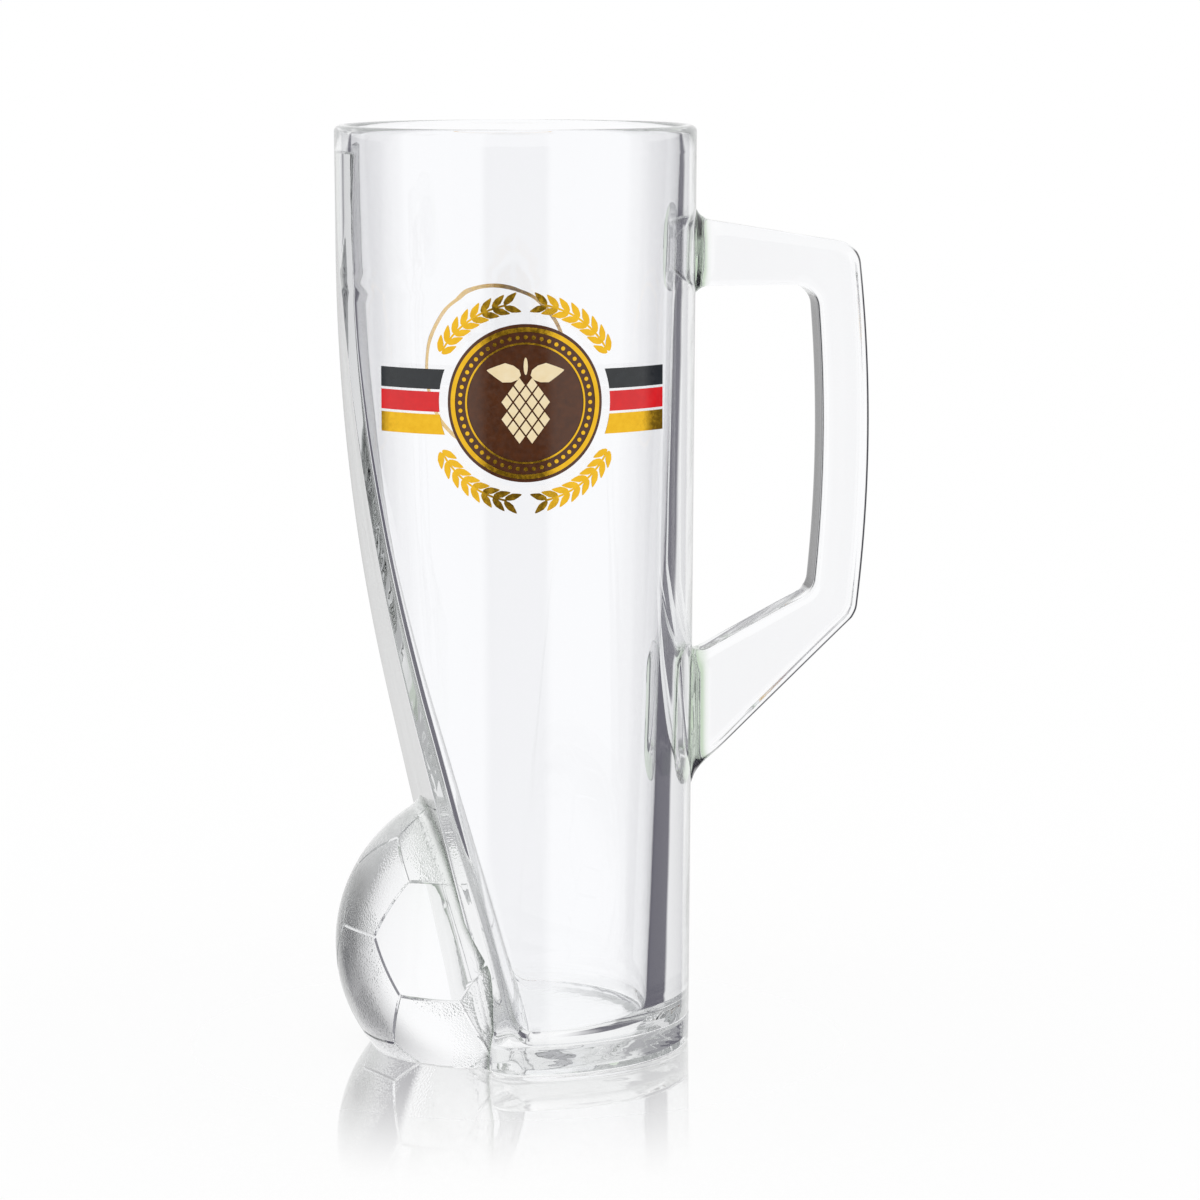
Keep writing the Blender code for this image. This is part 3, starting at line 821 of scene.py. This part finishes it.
def new_tree(name, **sizes):
    """Geometry tree with a named input for each size and for its finish."""
    tree = bpy.data.node_groups.new(name, "GeometryNodeTree")
    tree.interface.new_socket("Geometry", in_out="INPUT", socket_type="NodeSocketGeometry")
    for label, value in sizes.items():
        kind = "NodeSocketInt" if isinstance(value, int) else "NodeSocketFloat"
        tree.interface.new_socket(label, in_out="INPUT", socket_type=kind).default_value = value
    tree.interface.new_socket("Finish", in_out="INPUT", socket_type="NodeSocketMaterial")
    tree.interface.new_socket("Geometry", in_out="OUTPUT", socket_type="NodeSocketGeometry")
    return tree, {socket.name: Number(tree, socket) for socket in add(tree, "NodeGroupInput").outputs}


def close_tree(tree, inputs, geometry, chosen=None):
    """End a tree in plain geometry with its finish."""
    real = add(tree, "GeometryNodeRealizeInstances", {"Geometry": geometry})
    feeds = {"Geometry": real.outputs[0], "Material": inputs["Finish"]}
    if chosen is not None:
        feeds["Selection"] = chosen
    dressed = add(tree, "GeometryNodeSetMaterial", feeds)
    add(tree, "NodeGroupOutput", {"Geometry": dressed.outputs[0]})


def grow(made, tree, finish):
    """Run a tree on an object and keep its result as a plain mesh."""
    modifier = made.modifiers.new(tree.name, "NODES")
    modifier.node_group = tree
    modifier[tree.interface.items_tree["Finish"].identifier] = finish
    return settled(made)


def point_place(tree):
    """The three numbers of each point's place."""
    return spread(tree, add(tree, "GeometryNodeInputPosition").outputs[0])


def shifted(tree, geometry, **change):
    """Geometry whose points get an Offset or a Position."""
    return add(tree, "GeometryNodeSetPosition", {"Geometry": geometry, **change}).outputs[0]


def moved(tree, geometry, **change):
    """Geometry with a Translation, Rotation or Scale."""
    return add(tree, "GeometryNodeTransform", {"Geometry": geometry, **change}).outputs[0]


def planted(tree, points, shape, **change):
    """One copy of a shape on every point."""
    feeds = {"Points": points, "Instance": shape, **change}
    return add(tree, "GeometryNodeInstanceOnPoints", feeds).outputs[0]


def spaced(tree, path, pitch):
    """Path with its points about one pitch apart."""
    return add(tree, "GeometryNodeResampleCurve", {"Curve": path, "Length": pitch}, mode="LENGTH").outputs[0]


def together(tree, *parts):
    """Several geometries as one."""
    node = add(tree, "GeometryNodeJoinGeometry")
    for part in parts:
        feed(tree, node, {0: part})
    return node.outputs[0]


def relief_tree():
    """Pairs of outlined grains on a stem, raised on the flat side."""
    tree, sizes = new_tree(
        "Barley relief", Foot=EAR_FOOT, Top=EAR_TOP, Pitch=RELIEF_PITCH, Length=RELIEF_LENGTH,
        Width=RELIEF_WIDTH, Stem=RELIEF_STEM, Lean=RELIEF_LEAN, Line=RELIEF_LINE, Raise=RELIEF_RAISE,
    )
    _, sideways, level = point_place(tree)
    side = abs(sideways)
    across = side - (sizes["Width"] + sizes["Stem"])
    turn = reckon(tree, "FRACT", (level - sizes["Foot"]) / sizes["Pitch"])
    local = (turn - 0.5) * sizes["Pitch"]
    sine = reckon(tree, "SINE", sizes["Lean"])
    cosine = reckon(tree, "COSINE", sizes["Lean"])
    wide = abs((across * cosine - local * sine) / sizes["Width"])
    long = abs((across * sine + local * cosine) / sizes["Length"])
    outline = reckon(tree, "SQRT", wide ** 2.0 + long ** 2.0) - 1.0
    grain = (1.0 - (abs(outline) / sizes["Line"]) ** 2.0).at_least(0.0)
    stem = (1.0 - (side / sizes["Stem"]) ** 2.0).at_least(0.0)
    raised = grain.at_least(stem * RELIEF_STEM_RAISE)
    label = add(tree, "GeometryNodeInputNamedAttribute", {"Name": "facet"}, data_type="FLOAT")
    on_side = (level > sizes["Foot"]) * (level < sizes["Top"]) * Number(tree, label.outputs["Attribute"])
    height = raised * on_side * sizes["Raise"]
    normal = add(tree, "GeometryNodeInputNormal").outputs[0]
    offset = add(tree, "ShaderNodeVectorMath", {0: normal, "Scale": height}, operation="SCALE").outputs[0]
    glass_faces = add(tree, "GeometryNodeMaterialSelection", {"Material": sizes["Finish"]}).outputs[0]
    close_tree(tree, sizes, shifted(tree, sizes["Geometry"], Offset=offset), glass_faces)
    return tree


def prism(tree, sides, width, length, thick, taper=0.0):
    """Flat closed prism with an oval outline, drawn in towards its tip by a taper."""
    disc = add(tree, "GeometryNodeMeshCylinder", {"Vertices": sides, "Radius": 1.0, "Depth": 1.0})
    x, y, z = point_place(tree)
    narrow = 1.0 - y.at_least(0.0) * taper
    place = vector(tree, X=x * narrow * width, Y=y * length, Z=(z + 0.5) * thick)
    return shifted(tree, disc.outputs["Mesh"], Position=place)


def wreath_tree():
    """Printed ears: grains leaning out on both sides of a stalk that follows a path."""
    tree, sizes = new_tree("Printed barley", Pitch=GRAIN_PITCH, Length=GRAIN_LENGTH, Width=GRAIN_WIDTH,
                           Lean=GRAIN_LEAN, Stalk=STALK_WIDTH, Film=PRINT_FILM)
    path = add(tree, "GeometryNodeMeshToCurve", {"Mesh": sizes["Geometry"]}).outputs[0]
    spots = spaced(tree, path, sizes["Pitch"])
    tangent = add(tree, "GeometryNodeInputTangent").outputs[0]
    along = add(tree, "FunctionNodeAlignRotationToVector", {"Vector": tangent}, axis="Y", pivot_axis="Z")
    grain = prism(tree, GRAIN_SIDES, sizes["Width"], sizes["Length"], sizes["Film"], GRAIN_TAPER)
    parts = []
    for side in (-1.0, 1.0):
        beside = vector(tree, X=(sizes["Width"] + sizes["Stalk"]) * side, Y=sizes["Length"] * GRAIN_SHIFT)
        tilt = vector(tree, Z=sizes["Lean"] * -side)
        leaning = moved(tree, grain, Translation=beside, Rotation=tilt)
        parts.append(planted(tree, spots, leaning, Rotation=along.outputs[0]))
    bar = {"Width": sizes["Stalk"], "Height": sizes["Film"]}
    profile = add(tree, "GeometryNodeCurvePrimitiveQuadrilateral", bar).outputs[0]
    fine = spaced(tree, path, sizes["Pitch"] * STALK_FINENESS)
    run = {"Curve": fine, "Profile Curve": profile, "Fill Caps": True}
    stalk = add(tree, "GeometryNodeCurveToMesh", run).outputs[0]
    parts.append(moved(tree, stalk, Translation=vector(tree, Z=sizes["Film"] * 0.5)))
    close_tree(tree, sizes, together(tree, *parts))
    return tree


def hop_tree():
    """Hop cone: lozenge scales inside an egg outline, with two leaves and a stem."""
    tree, sizes = new_tree("Hop cone", Scale_width=SCALE_WIDTH, Scale_length=SCALE_LENGTH,
                           Cone_width=CONE_WIDTH, Cone_height=CONE_HEIGHT, Film=PRINT_FILM)
    across = sizes["Scale_width"] * (2.0 * (SCALE_COLUMNS - 1))
    up = sizes["Scale_length"] * float(SCALE_ROWS - 1)
    grid = {"Size X": across, "Size Y": up, "Vertices X": SCALE_COLUMNS, "Vertices Y": SCALE_ROWS}
    lattice = add(tree, "GeometryNodeMeshGrid", grid).outputs["Mesh"]
    x, y, _ = point_place(tree)
    row = reckon(tree, "ROUND", (y + up) / sizes["Scale_length"])
    odd = reckon(tree, "MODULO", row, 2.0)
    staggered = shifted(tree, lattice, Offset=vector(tree, X=odd * sizes["Scale_width"]))
    high = y / sizes["Cone_height"]
    wide = x / sizes["Cone_width"] / (1.0 + high * CONE_SWELL)
    outside = abs(wide) ** 2.0 + abs(high) ** 2.0 > 1.0
    kept = add(tree, "GeometryNodeDeleteGeometry", {"Geometry": staggered, "Selection": outside}).outputs[0]
    scale = prism(tree, SCALE_SIDES, sizes["Scale_width"], sizes["Scale_length"], sizes["Film"])
    scales = planted(tree, kept, moved(tree, scale, Scale=(SCALE_FILL, SCALE_FILL, 1.0)))
    parts = [moved(tree, scales, Translation=(0.0, -CONE_DROP, 0.0))]
    leaf = prism(tree, GRAIN_SIDES, LEAF_WIDTH, LEAF_LENGTH, sizes["Film"], LEAF_TAPER)
    for side in (1.0, -1.0):
        place = (side * LEAF_ACROSS, LEAF_UP, 0.0)
        parts.append(moved(tree, leaf, Translation=place, Rotation=(0.0, 0.0, side * LEAF_TURN)))
    stem = prism(tree, GRAIN_SIDES, STALK_WIDTH, STEM_LENGTH, sizes["Film"])
    parts.append(moved(tree, stem, Translation=STEM_PLACE))
    close_tree(tree, sizes, together(tree, *parts))
    return tree


def bead_tree():
    """Ring of printed dots."""
    tree, sizes = new_tree("Beaded ring", Count=BEAD_COUNT, Ring=BEAD_RING, Bead=BEAD_RADIUS, Film=PRINT_FILM)
    ring = {"Resolution": sizes["Count"], "Radius": sizes["Ring"]}
    circle = add(tree, "GeometryNodeCurvePrimitiveCircle", ring).outputs[0]
    bead = prism(tree, GRAIN_SIDES, sizes["Bead"], sizes["Bead"], sizes["Film"])
    close_tree(tree, sizes, together(tree, sizes["Geometry"], planted(tree, circle, bead)))
    return tree


def wrap(mesh, facing, layer):
    """Bend a flat design round the wall: across becomes turn, up stays up, thickness goes outwards."""
    for vert in mesh.vertices:
        across, up, thick = vert.co
        level = BELT_MIDDLE + up
        angle = facing + across / wall_radius(level)
        radius = wall_radius(level) + PRINT_LIFT + layer * (PRINT_LIFT + PRINT_FILM) + thick
        vert.co = (radius * math.cos(angle), radius * math.sin(angle), level)


def film(name, rows, finish, loop=False):
    """Flat printed film from rows of points, given its thickness."""
    width = len(rows[0])
    faces = []
    for low in range(0, (len(rows) - 1) * width, width):
        for step in range(width if loop else width - 1):
            after = (step + 1) % width
            faces.append((low + step, low + after, low + width + after, low + width + step))
    mesh = bpy.data.meshes.new(name)
    mesh.from_pydata([(u, v, 0.0) for row in rows for u, v in row], [], faces)
    made = shown(name, mesh, finish)
    modifier = made.modifiers.new("Film", "SOLIDIFY")
    modifier.thickness = PRINT_FILM
    modifier.offset = 1.0
    return settled(made)


def ring_rows(*radii):
    """Rings of flat points, from the outside in."""
    turns = [math.tau * step / PRINT_TURNS for step in range(PRINT_TURNS)]
    return [[(radius * math.cos(turn), radius * math.sin(turn)) for turn in turns] for radius in radii]


def disc_rows(radius):
    """Square lattice of flat points, drawn to a round outline."""
    marks = [2.0 * step / PRINT_CELLS - 1.0 for step in range(PRINT_CELLS + 1)]
    rows = []
    for up in marks:
        row = []
        for across in marks:
            x = radius * across * math.sqrt(1 - up * up / 2)
            y = radius * up * math.sqrt(1 - across * across / 2)
            row.append((x, y))
        rows.append(row)
    return rows


def stripe_rows(side, middle):
    """Lattice of one stripe, from the badge's margin to the end of the belt."""
    rows = []
    for step in range(STRIPE_ROWS + 1):
        up = middle + STRIPE_HEIGHT * (step / STRIPE_ROWS - 0.5)
        inner = math.sqrt((BADGE_RADIUS + BADGE_MARGIN) ** 2 - up ** 2)
        outer = BELT_SWEEP * wall_radius(BELT_MIDDLE)
        row = [(side * (inner + (outer - inner) * turn / PRINT_CELLS), up) for turn in range(PRINT_CELLS + 1)]
        rows.append(row if side > 0 else row[::-1])
    return rows


def wreath_path():
    """Four arcs round the badge, as bare edges."""
    points = []
    edges = []
    for side, upward in CORNERS:
        start = len(points)
        for step in range(WREATH_STEPS + 1):
            turn = WREATH_FROM + (WREATH_TO - WREATH_FROM) * step / WREATH_STEPS
            across = side * WREATH_RADIUS * math.cos(turn)
            points.append((across, upward * WREATH_RADIUS * math.sin(turn), 0.0))
        edges += [(start + step, start + step + 1) for step in range(WREATH_STEPS)]
    mesh = bpy.data.meshes.new("barley_wreath")
    mesh.from_pydata(points, edges, [])
    return mesh


def make_print(brown, black, red, gold, pale_gold, ink):
    """Fired print: badge with border and hop cone, belt of stripes, barley wreath, ring on the back."""
    field = film("badge_field", disc_rows(BADGE_RADIUS), brown)
    border = film("badge_border", ring_rows(*BADGE_RIM), gold, loop=True)
    line = film("badge_line", ring_rows(*BADGE_LINE), gold, loop=True)
    grow(border, bead_tree(), gold)
    cone = grow(shown("hop_cone", bpy.data.meshes.new("hop_cone")), hop_tree(), ink)
    wreath = grow(shown("barley_wreath", wreath_path()), wreath_tree(), gold)
    front = [(field, 0, "brown_enamel", "badge_print"), (border, 1, "gold_lustre", None),
             (line, 1, "gold_lustre", None), (cone, 1, "gold_lustre", None), (wreath, 0, "gold_lustre", None)]
    for order, (colour, finish) in enumerate((("gold", gold), ("red", red), ("black", black))):
        middle = (order - 1) * (STRIPE_HEIGHT + STRIPE_GAP)
        slot = "gold_lustre" if colour == "gold" else colour + "_enamel"
        for side, word in ((-1, "left"), (1, "right")):
            node = f"{colour}_stripe_{word}"
            front.append((film(node + "_film", stripe_rows(side, middle), finish), 0, slot, node))
    edge = BACK_RING_WIDTH / 2
    rows = ring_rows(BACK_RING_RADIUS + edge, BACK_RING_RADIUS - edge)
    back = film("back_ring_film", rows, pale_gold, loop=True)
    wrap(back.data, PRINT_BACK, 0)
    printed = []
    for piece, layer, slot, node in front:
        wrap(piece.data, PRINT_FRONT, layer)
        printed.append((piece, slot, node))
    return printed + [(back, "gold_lustre", "back_ring_print")]


def new_finish(name):
    """Material with its tree and its shader."""
    made = bpy.data.materials.new(name)
    made.use_nodes = True
    return made, made.node_tree, made.node_tree.nodes["Principled BSDF"]


def mixed(tree, share, first, second, blend="MIX"):
    """Colour between two, by a share."""
    feeds = {0: share, 6: first, 7: second}
    return add(tree, "ShaderNodeMix", feeds, data_type="RGBA", blend_type=blend).outputs[2]


def noise(tree, spot, size, detail=2.0):
    """Cloudy pattern with features of about one size."""
    feeds = {"Vector": spot, "Scale": 1.0 / size, "Detail": detail}
    return Number(tree, add(tree, "ShaderNodeTexNoise", feeds).outputs["Fac"])


def carried(tree, label):
    """A number that the mesh carries at its points."""
    return Number(tree, add(tree, "ShaderNodeAttribute", attribute_name=label).outputs["Fac"])


def bumped(tree, height, distance, **options):
    """Node that tilts the surface by a height field."""
    feeds = {"Strength": 1.0, "Distance": distance, "Height": height}
    return add(tree, "ShaderNodeBump", feeds, **options)


def resurface(tree, shader, surface):
    """Put another surface in the place of a finish's own shader."""
    tree.nodes.remove(shader)
    feed(tree, tree.nodes["Material Output"], {"Surface": surface})


def object_spot(tree, draw=(1.0, 1.0, 1.0)):
    """Place on the piece, stretched where a pattern is drawn out."""
    spot = add(tree, "ShaderNodeTexCoord").outputs["Object"]
    return add(tree, "ShaderNodeMapping", {"Vector": spot, "Scale": draw}).outputs[0]


def glass_finish(name, green_field, ripple, outline, flat_turn, pebbles=False):
    """Clear pressed glass: mould ripple, green where it is thick, painted shade: near-black on upright edges
    and grey on the flat side where they turn away from the view, and a dark green line painted along the
    ball's joint.
    """
    made, tree, shader = new_finish(name)
    spot = object_spot(tree)
    across, _, level = spread(tree, spot)
    turned = Number(tree, add(tree, "ShaderNodeLayerWeight").outputs["Facing"])
    # Painted shade: the flat side goes grey where it turns away from the view
    slant_shaded = mixed(tree, carried(tree, "facet") * turned.ranged(*SLANT), GLASS_CLEAR, SLANT_PAINTED_SHADE)
    green = mixed(tree, green_field(across, level), slant_shaded, GLASS_GREEN)
    # Painted shade along the crease where the ball meets the flat side, dark green
    crease_shaded = mixed(tree, carried(tree, "at_joint"), green, JOINT_LINE_SHADE)
    rise = spread(tree, add(tree, "ShaderNodeNewGeometry").outputs["Normal"])[2]
    # Painted shade on the edges: upright faces turned away from the view get a near-black colour
    upright = abs(rise).ranged(*EDGE_RISE, outline, 0.0)
    rolled = turned.ranged(*EDGE_TURN) * carried(tree, "rounded")
    edge = rolled.at_least(turned.ranged(*flat_turn)) * upright
    wave_top = FLOOR_HEIGHT + FLOOR_RIPPLE_RISE
    wave = level.ranged(wave_top, FLOOR_HEIGHT, 1.0, 1.0 if pebbles else FLOOR_RIPPLE)
    bump = bumped(tree, noise(tree, object_spot(tree, RIPPLE_DRAW), RIPPLE_SIZE) * wave, ripple)
    if pebbles:
        cells = add(tree, "ShaderNodeTexVoronoi", {"Vector": spot, "Scale": 1.0 / PEBBLE}).outputs["Distance"]
        wear = noise(tree, spot, PEBBLE_PATCH, 0.0).ranged(*PEBBLE_WEAR)
        grain = Number(tree, cells) * (carried(tree, "pebbled") * wear)
        pebbled = bumped(tree, grain, PEBBLE_DEPTH, invert=True)
        feed(tree, pebbled, {"Normal": bump.outputs[0]})
        bump = pebbled
    feed(tree, shader, {
        "Base Color": mixed(tree, edge, crease_shaded, PAINTED_EDGE_SHADE), "Normal": bump.outputs[0],
        "Roughness": 0.0, "IOR": GLASS_IOR, "Transmission Weight": 1.0,
    })
    return made


def low_down(across, level):
    """Share of green that grows towards the heel."""
    return level.ranged(HEEL_GREEN_TOP, 0.0, 0.0, HEEL_GREEN)


def near_root(across, level):
    """Share of green that grows towards the handle's roots."""
    wall = AXIS.x + RIM_RADIUS
    return across.ranged(wall + ROOT_GREEN_REACH, wall + ROOT_GREEN_FULL)


def near_side(across, level):
    """Share of green that grows where the ball's top meets the flat side."""
    height = level.ranged(BALL_HEIGHT, BALL_HEIGHT + BALL_RADIUS)
    return height * across.ranged(AXIS.x - BALL_RADIUS, AXIS.x)


def joint_finish():
    """Clear face where two pieces of one casting meet."""
    made, tree, shader = new_finish("Fused joint")
    resurface(tree, shader, add(tree, "ShaderNodeBsdfTransparent").outputs[0])
    return made


def enamel_finish(name, colour, worn, metal=0.0):
    """Fired print: cloudy colour, uneven gloss, fine screen grain."""
    made, tree, shader = new_finish(name)
    spot = object_spot(tree)
    feed(tree, shader, {
        "Base Color": mixed(tree, noise(tree, spot, CLOUD_SIZE), colour, worn),
        "Roughness": noise(tree, spot, GLOSS_SIZE).ranged(*GLOSS_CLOUD, *PRINT_GLOSS),
        "Normal": bumped(tree, noise(tree, spot, GRAIN_SIZE), GRAIN_DEPTH).outputs[0],
        "Metallic": metal,
    })
    return made


def make_floor():
    """Round white table top, its polish fading away from the mug."""
    shape = bmesh.new()
    bmesh.ops.create_circle(shape, cap_ends=True, radius=TABLE_RADIUS, segments=TABLE_SIDES)
    mesh = bpy.data.meshes.new("floor")
    bmesh.ops.translate(shape, verts=shape.verts, vec=AXIS + Vector((0.0, 0.0, -FLOOR_DROP)))
    shape.to_mesh(mesh)
    shape.free()
    made, tree, shader = new_finish("White table")
    away = Number(tree, vector_sum(tree, "DISTANCE", object_spot(tree), AXIS)["Value"])
    polish = away.ranged(POLISH_FROM, POLISH_TO, POLISH, 0.0)
    matt = add(tree, "ShaderNodeBsdfDiffuse", {"Color": TABLE_WHITE}).outputs[0]
    glow = add(tree, "ShaderNodeEmission", {"Color": WHITE}).outputs[0]
    pale = add(tree, "ShaderNodeMixShader", {0: TABLE_GLOW, 1: matt, 2: glow}).outputs[0]
    shine = add(tree, "ShaderNodeBsdfGlossy", {"Color": TABLE_WHITE, "Roughness": POLISH_BLUR}).outputs[0]
    resurface(tree, shader, add(tree, "ShaderNodeMixShader", {0: polish, 1: pale, 2: shine}).outputs[0])
    floor = shown("floor", mesh, made)
    floor.visible_glossy = False
    floor.visible_transmission = False


def facing_share(tree, way, aim):
    """How squarely a direction faces an aim, from -1 to 1."""
    return Number(tree, vector_sum(tree, "DOT_PRODUCT", way, aim)["Value"])


def studio_walls(tree, facing):
    """Colour round the room, from behind the mug to behind the camera."""
    walls = add(tree, "ShaderNodeValToRGB", {0: reckon(tree, "MULTIPLY_ADD", facing, 0.5, 0.5)})
    stops = walls.color_ramp.elements
    stops.remove(stops[-1])
    for order, (angle, colour) in enumerate(STUDIO_WALLS):
        spot = (1.0 + math.cos(math.radians(angle))) / 2
        stop = stops[0] if order == 0 else stops.new(spot)
        stop.position = spot
        stop.color = colour
    return walls.outputs[0]


def dark_cards(tree, level, front):
    """White backdrop with two narrow dark cards, seen through several walls of glass."""
    cards = 0.0
    for turn in CARD_PLACES:
        aim = -front
        aim.rotate(Matrix.Rotation(-turn, 3, "Z"))
        card = facing_share(tree, level, aim).ranged(math.cos(CARD_HALF + CARD_SOFT), math.cos(CARD_HALF))
        cards = card.at_least(cards)
    return mixed(tree, cards, WHITE, WALL_DARK)


def make_studio():
    """White surroundings; reflections see dark walls between the backdrop and two soft boxes."""
    world = bpy.data.worlds.new("Studio")
    world.use_nodes = True
    tree = world.node_tree
    way = add(tree, "ShaderNodeTexCoord").outputs["Generated"]
    level = vector_sum(tree, "NORMALIZE", vector_sum(tree, "MULTIPLY", way, (1.0, 1.0, 0.0))[0])[0]
    front = Vector((CAMERA_PLACE.x - AXIS.x, CAMERA_PLACE.y, 0.0)).normalized()
    facing = facing_share(tree, level, front)
    height = spread(tree, way)[2]
    path = {socket.name: Number(tree, socket) for socket in add(tree, "ShaderNodeLightPath").outputs}
    bounces = path["Glossy Depth"]
    outside = path["Transmission Depth"] < FIRST_PASS
    deep = path["Transmission Depth"] > DEEP_PASS

    # Mirrored rays see the walls, paler after each bounce and without the camera's side deep in the glass
    camera_side = facing.ranged(math.cos(CAMERA_SIDE), math.cos(CAMERA_SIDE - CARD_SOFT))
    strength = bounces.at_least(1.0) ** -BOUNCE_FADE * (1.0 - camera_side * deep)
    reflected = mixed(tree, strength, WHITE, studio_walls(tree, facing))
    through = mixed(tree, deep, WHITE, dark_cards(tree, level, front))
    seen = mixed(tree, reckon(tree, "MINIMUM", bounces, 1.0), through, reflected)

    # Each inner reflection loses some light
    lost = (1.0 - BOUNCE_LOSS ** bounces) * (1.0 - outside)
    dimmed = mixed(tree, lost, seen, LOSS_TINT, "MULTIPLY")

    # The camera, matt surfaces, steep directions and the open sky stay white
    open_sky = (height > 0.0) * outside
    steep = abs(height).ranged(STEEP, 1.0)
    plain = open_sky.at_least(steep).at_least(path["Is Camera Ray"].at_least(path["Is Diffuse Ray"]))
    feed(tree, tree.nodes["Background"], {"Color": mixed(tree, plain, dimmed, WHITE)})
    world.cycles.sampling_method = "NONE"
    bpy.context.scene.world = world


def make_camera():
    """Camera at the photograph's place."""
    camera_data = bpy.data.cameras.new("Camera")
    camera_data.lens = LENS_MM
    camera_data.sensor_width = SENSOR_MM
    camera = bpy.data.objects.new("Camera", camera_data)
    camera.location = CAMERA_PLACE
    camera.rotation_euler = CAMERA_AIM.to_track_quat("-Z", "Y").to_euler()
    bpy.context.scene.collection.objects.link(camera)
    bpy.context.scene.camera = camera


joint = joint_finish()
body_glass = glass_finish("Pressed glass", low_down, BODY_RIPPLE, BODY_EDGE_SHADE, BODY_TURN)
handle_glass = glass_finish("Handle glass", near_root, HANDLE_RIPPLE, HANDLE_EDGE_SHADE, HANDLE_TURN)
ball_glass = glass_finish("Ball glass", near_side, BODY_RIPPLE, BALL_EDGE_SHADE, HANDLE_TURN, pebbles=True)
gold = enamel_finish("Gold lustre", GOLD, GOLD_DEEP, metal=1.0)
pale_gold = enamel_finish("Thin gold lustre", GOLD_PALE, GOLD, metal=1.0)
ink = enamel_finish("Pale gold ink", INK, INK_DEEP)
brown = enamel_finish("Brown enamel", BROWN, BROWN_DEEP)
black = enamel_finish("Black enamel", BLACK, BLACK_WORN)
red = enamel_finish("Red enamel", RED, RED_DEEP)

bowl = grow(make_bowl(body_glass, joint), relief_tree(), body_glass)
lip = make_lip(body_glass, joint)
heel = make_heel(body_glass, joint)
handle, handle_plug = make_handle(handle_glass, joint)
ball, ball_plug = make_ball(ball_glass, joint)
carve(bowl, handle_plug, ball_plug)
carve(heel, ball_plug)
drop(handle_plug, ball_plug)
pieces = [(bowl, "glass", "bowl"), (lip, "glass", "rim_band"), (heel, "glass", "foot"),
          (handle, "glass", "handle"), (ball, "glass", "football")]
pieces += make_print(brown, black, red, gold, pale_gold, ink)
for piece, slot, node in pieces:
    piece.data.transform(Matrix.Translation(AXIS))
    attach(piece, "root")
    if node:
        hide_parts(node)

make_floor()
make_studio()
make_camera()
scene = bpy.context.scene
scene.view_settings.view_transform = "Standard"
scene.cycles.max_bounces = LIGHT_BOUNCES
scene.cycles.transmission_bounces = LIGHT_BOUNCES
scene.cycles.glossy_bounces = LIGHT_BOUNCES
scene.cycles.transparent_max_bounces = LIGHT_BOUNCES
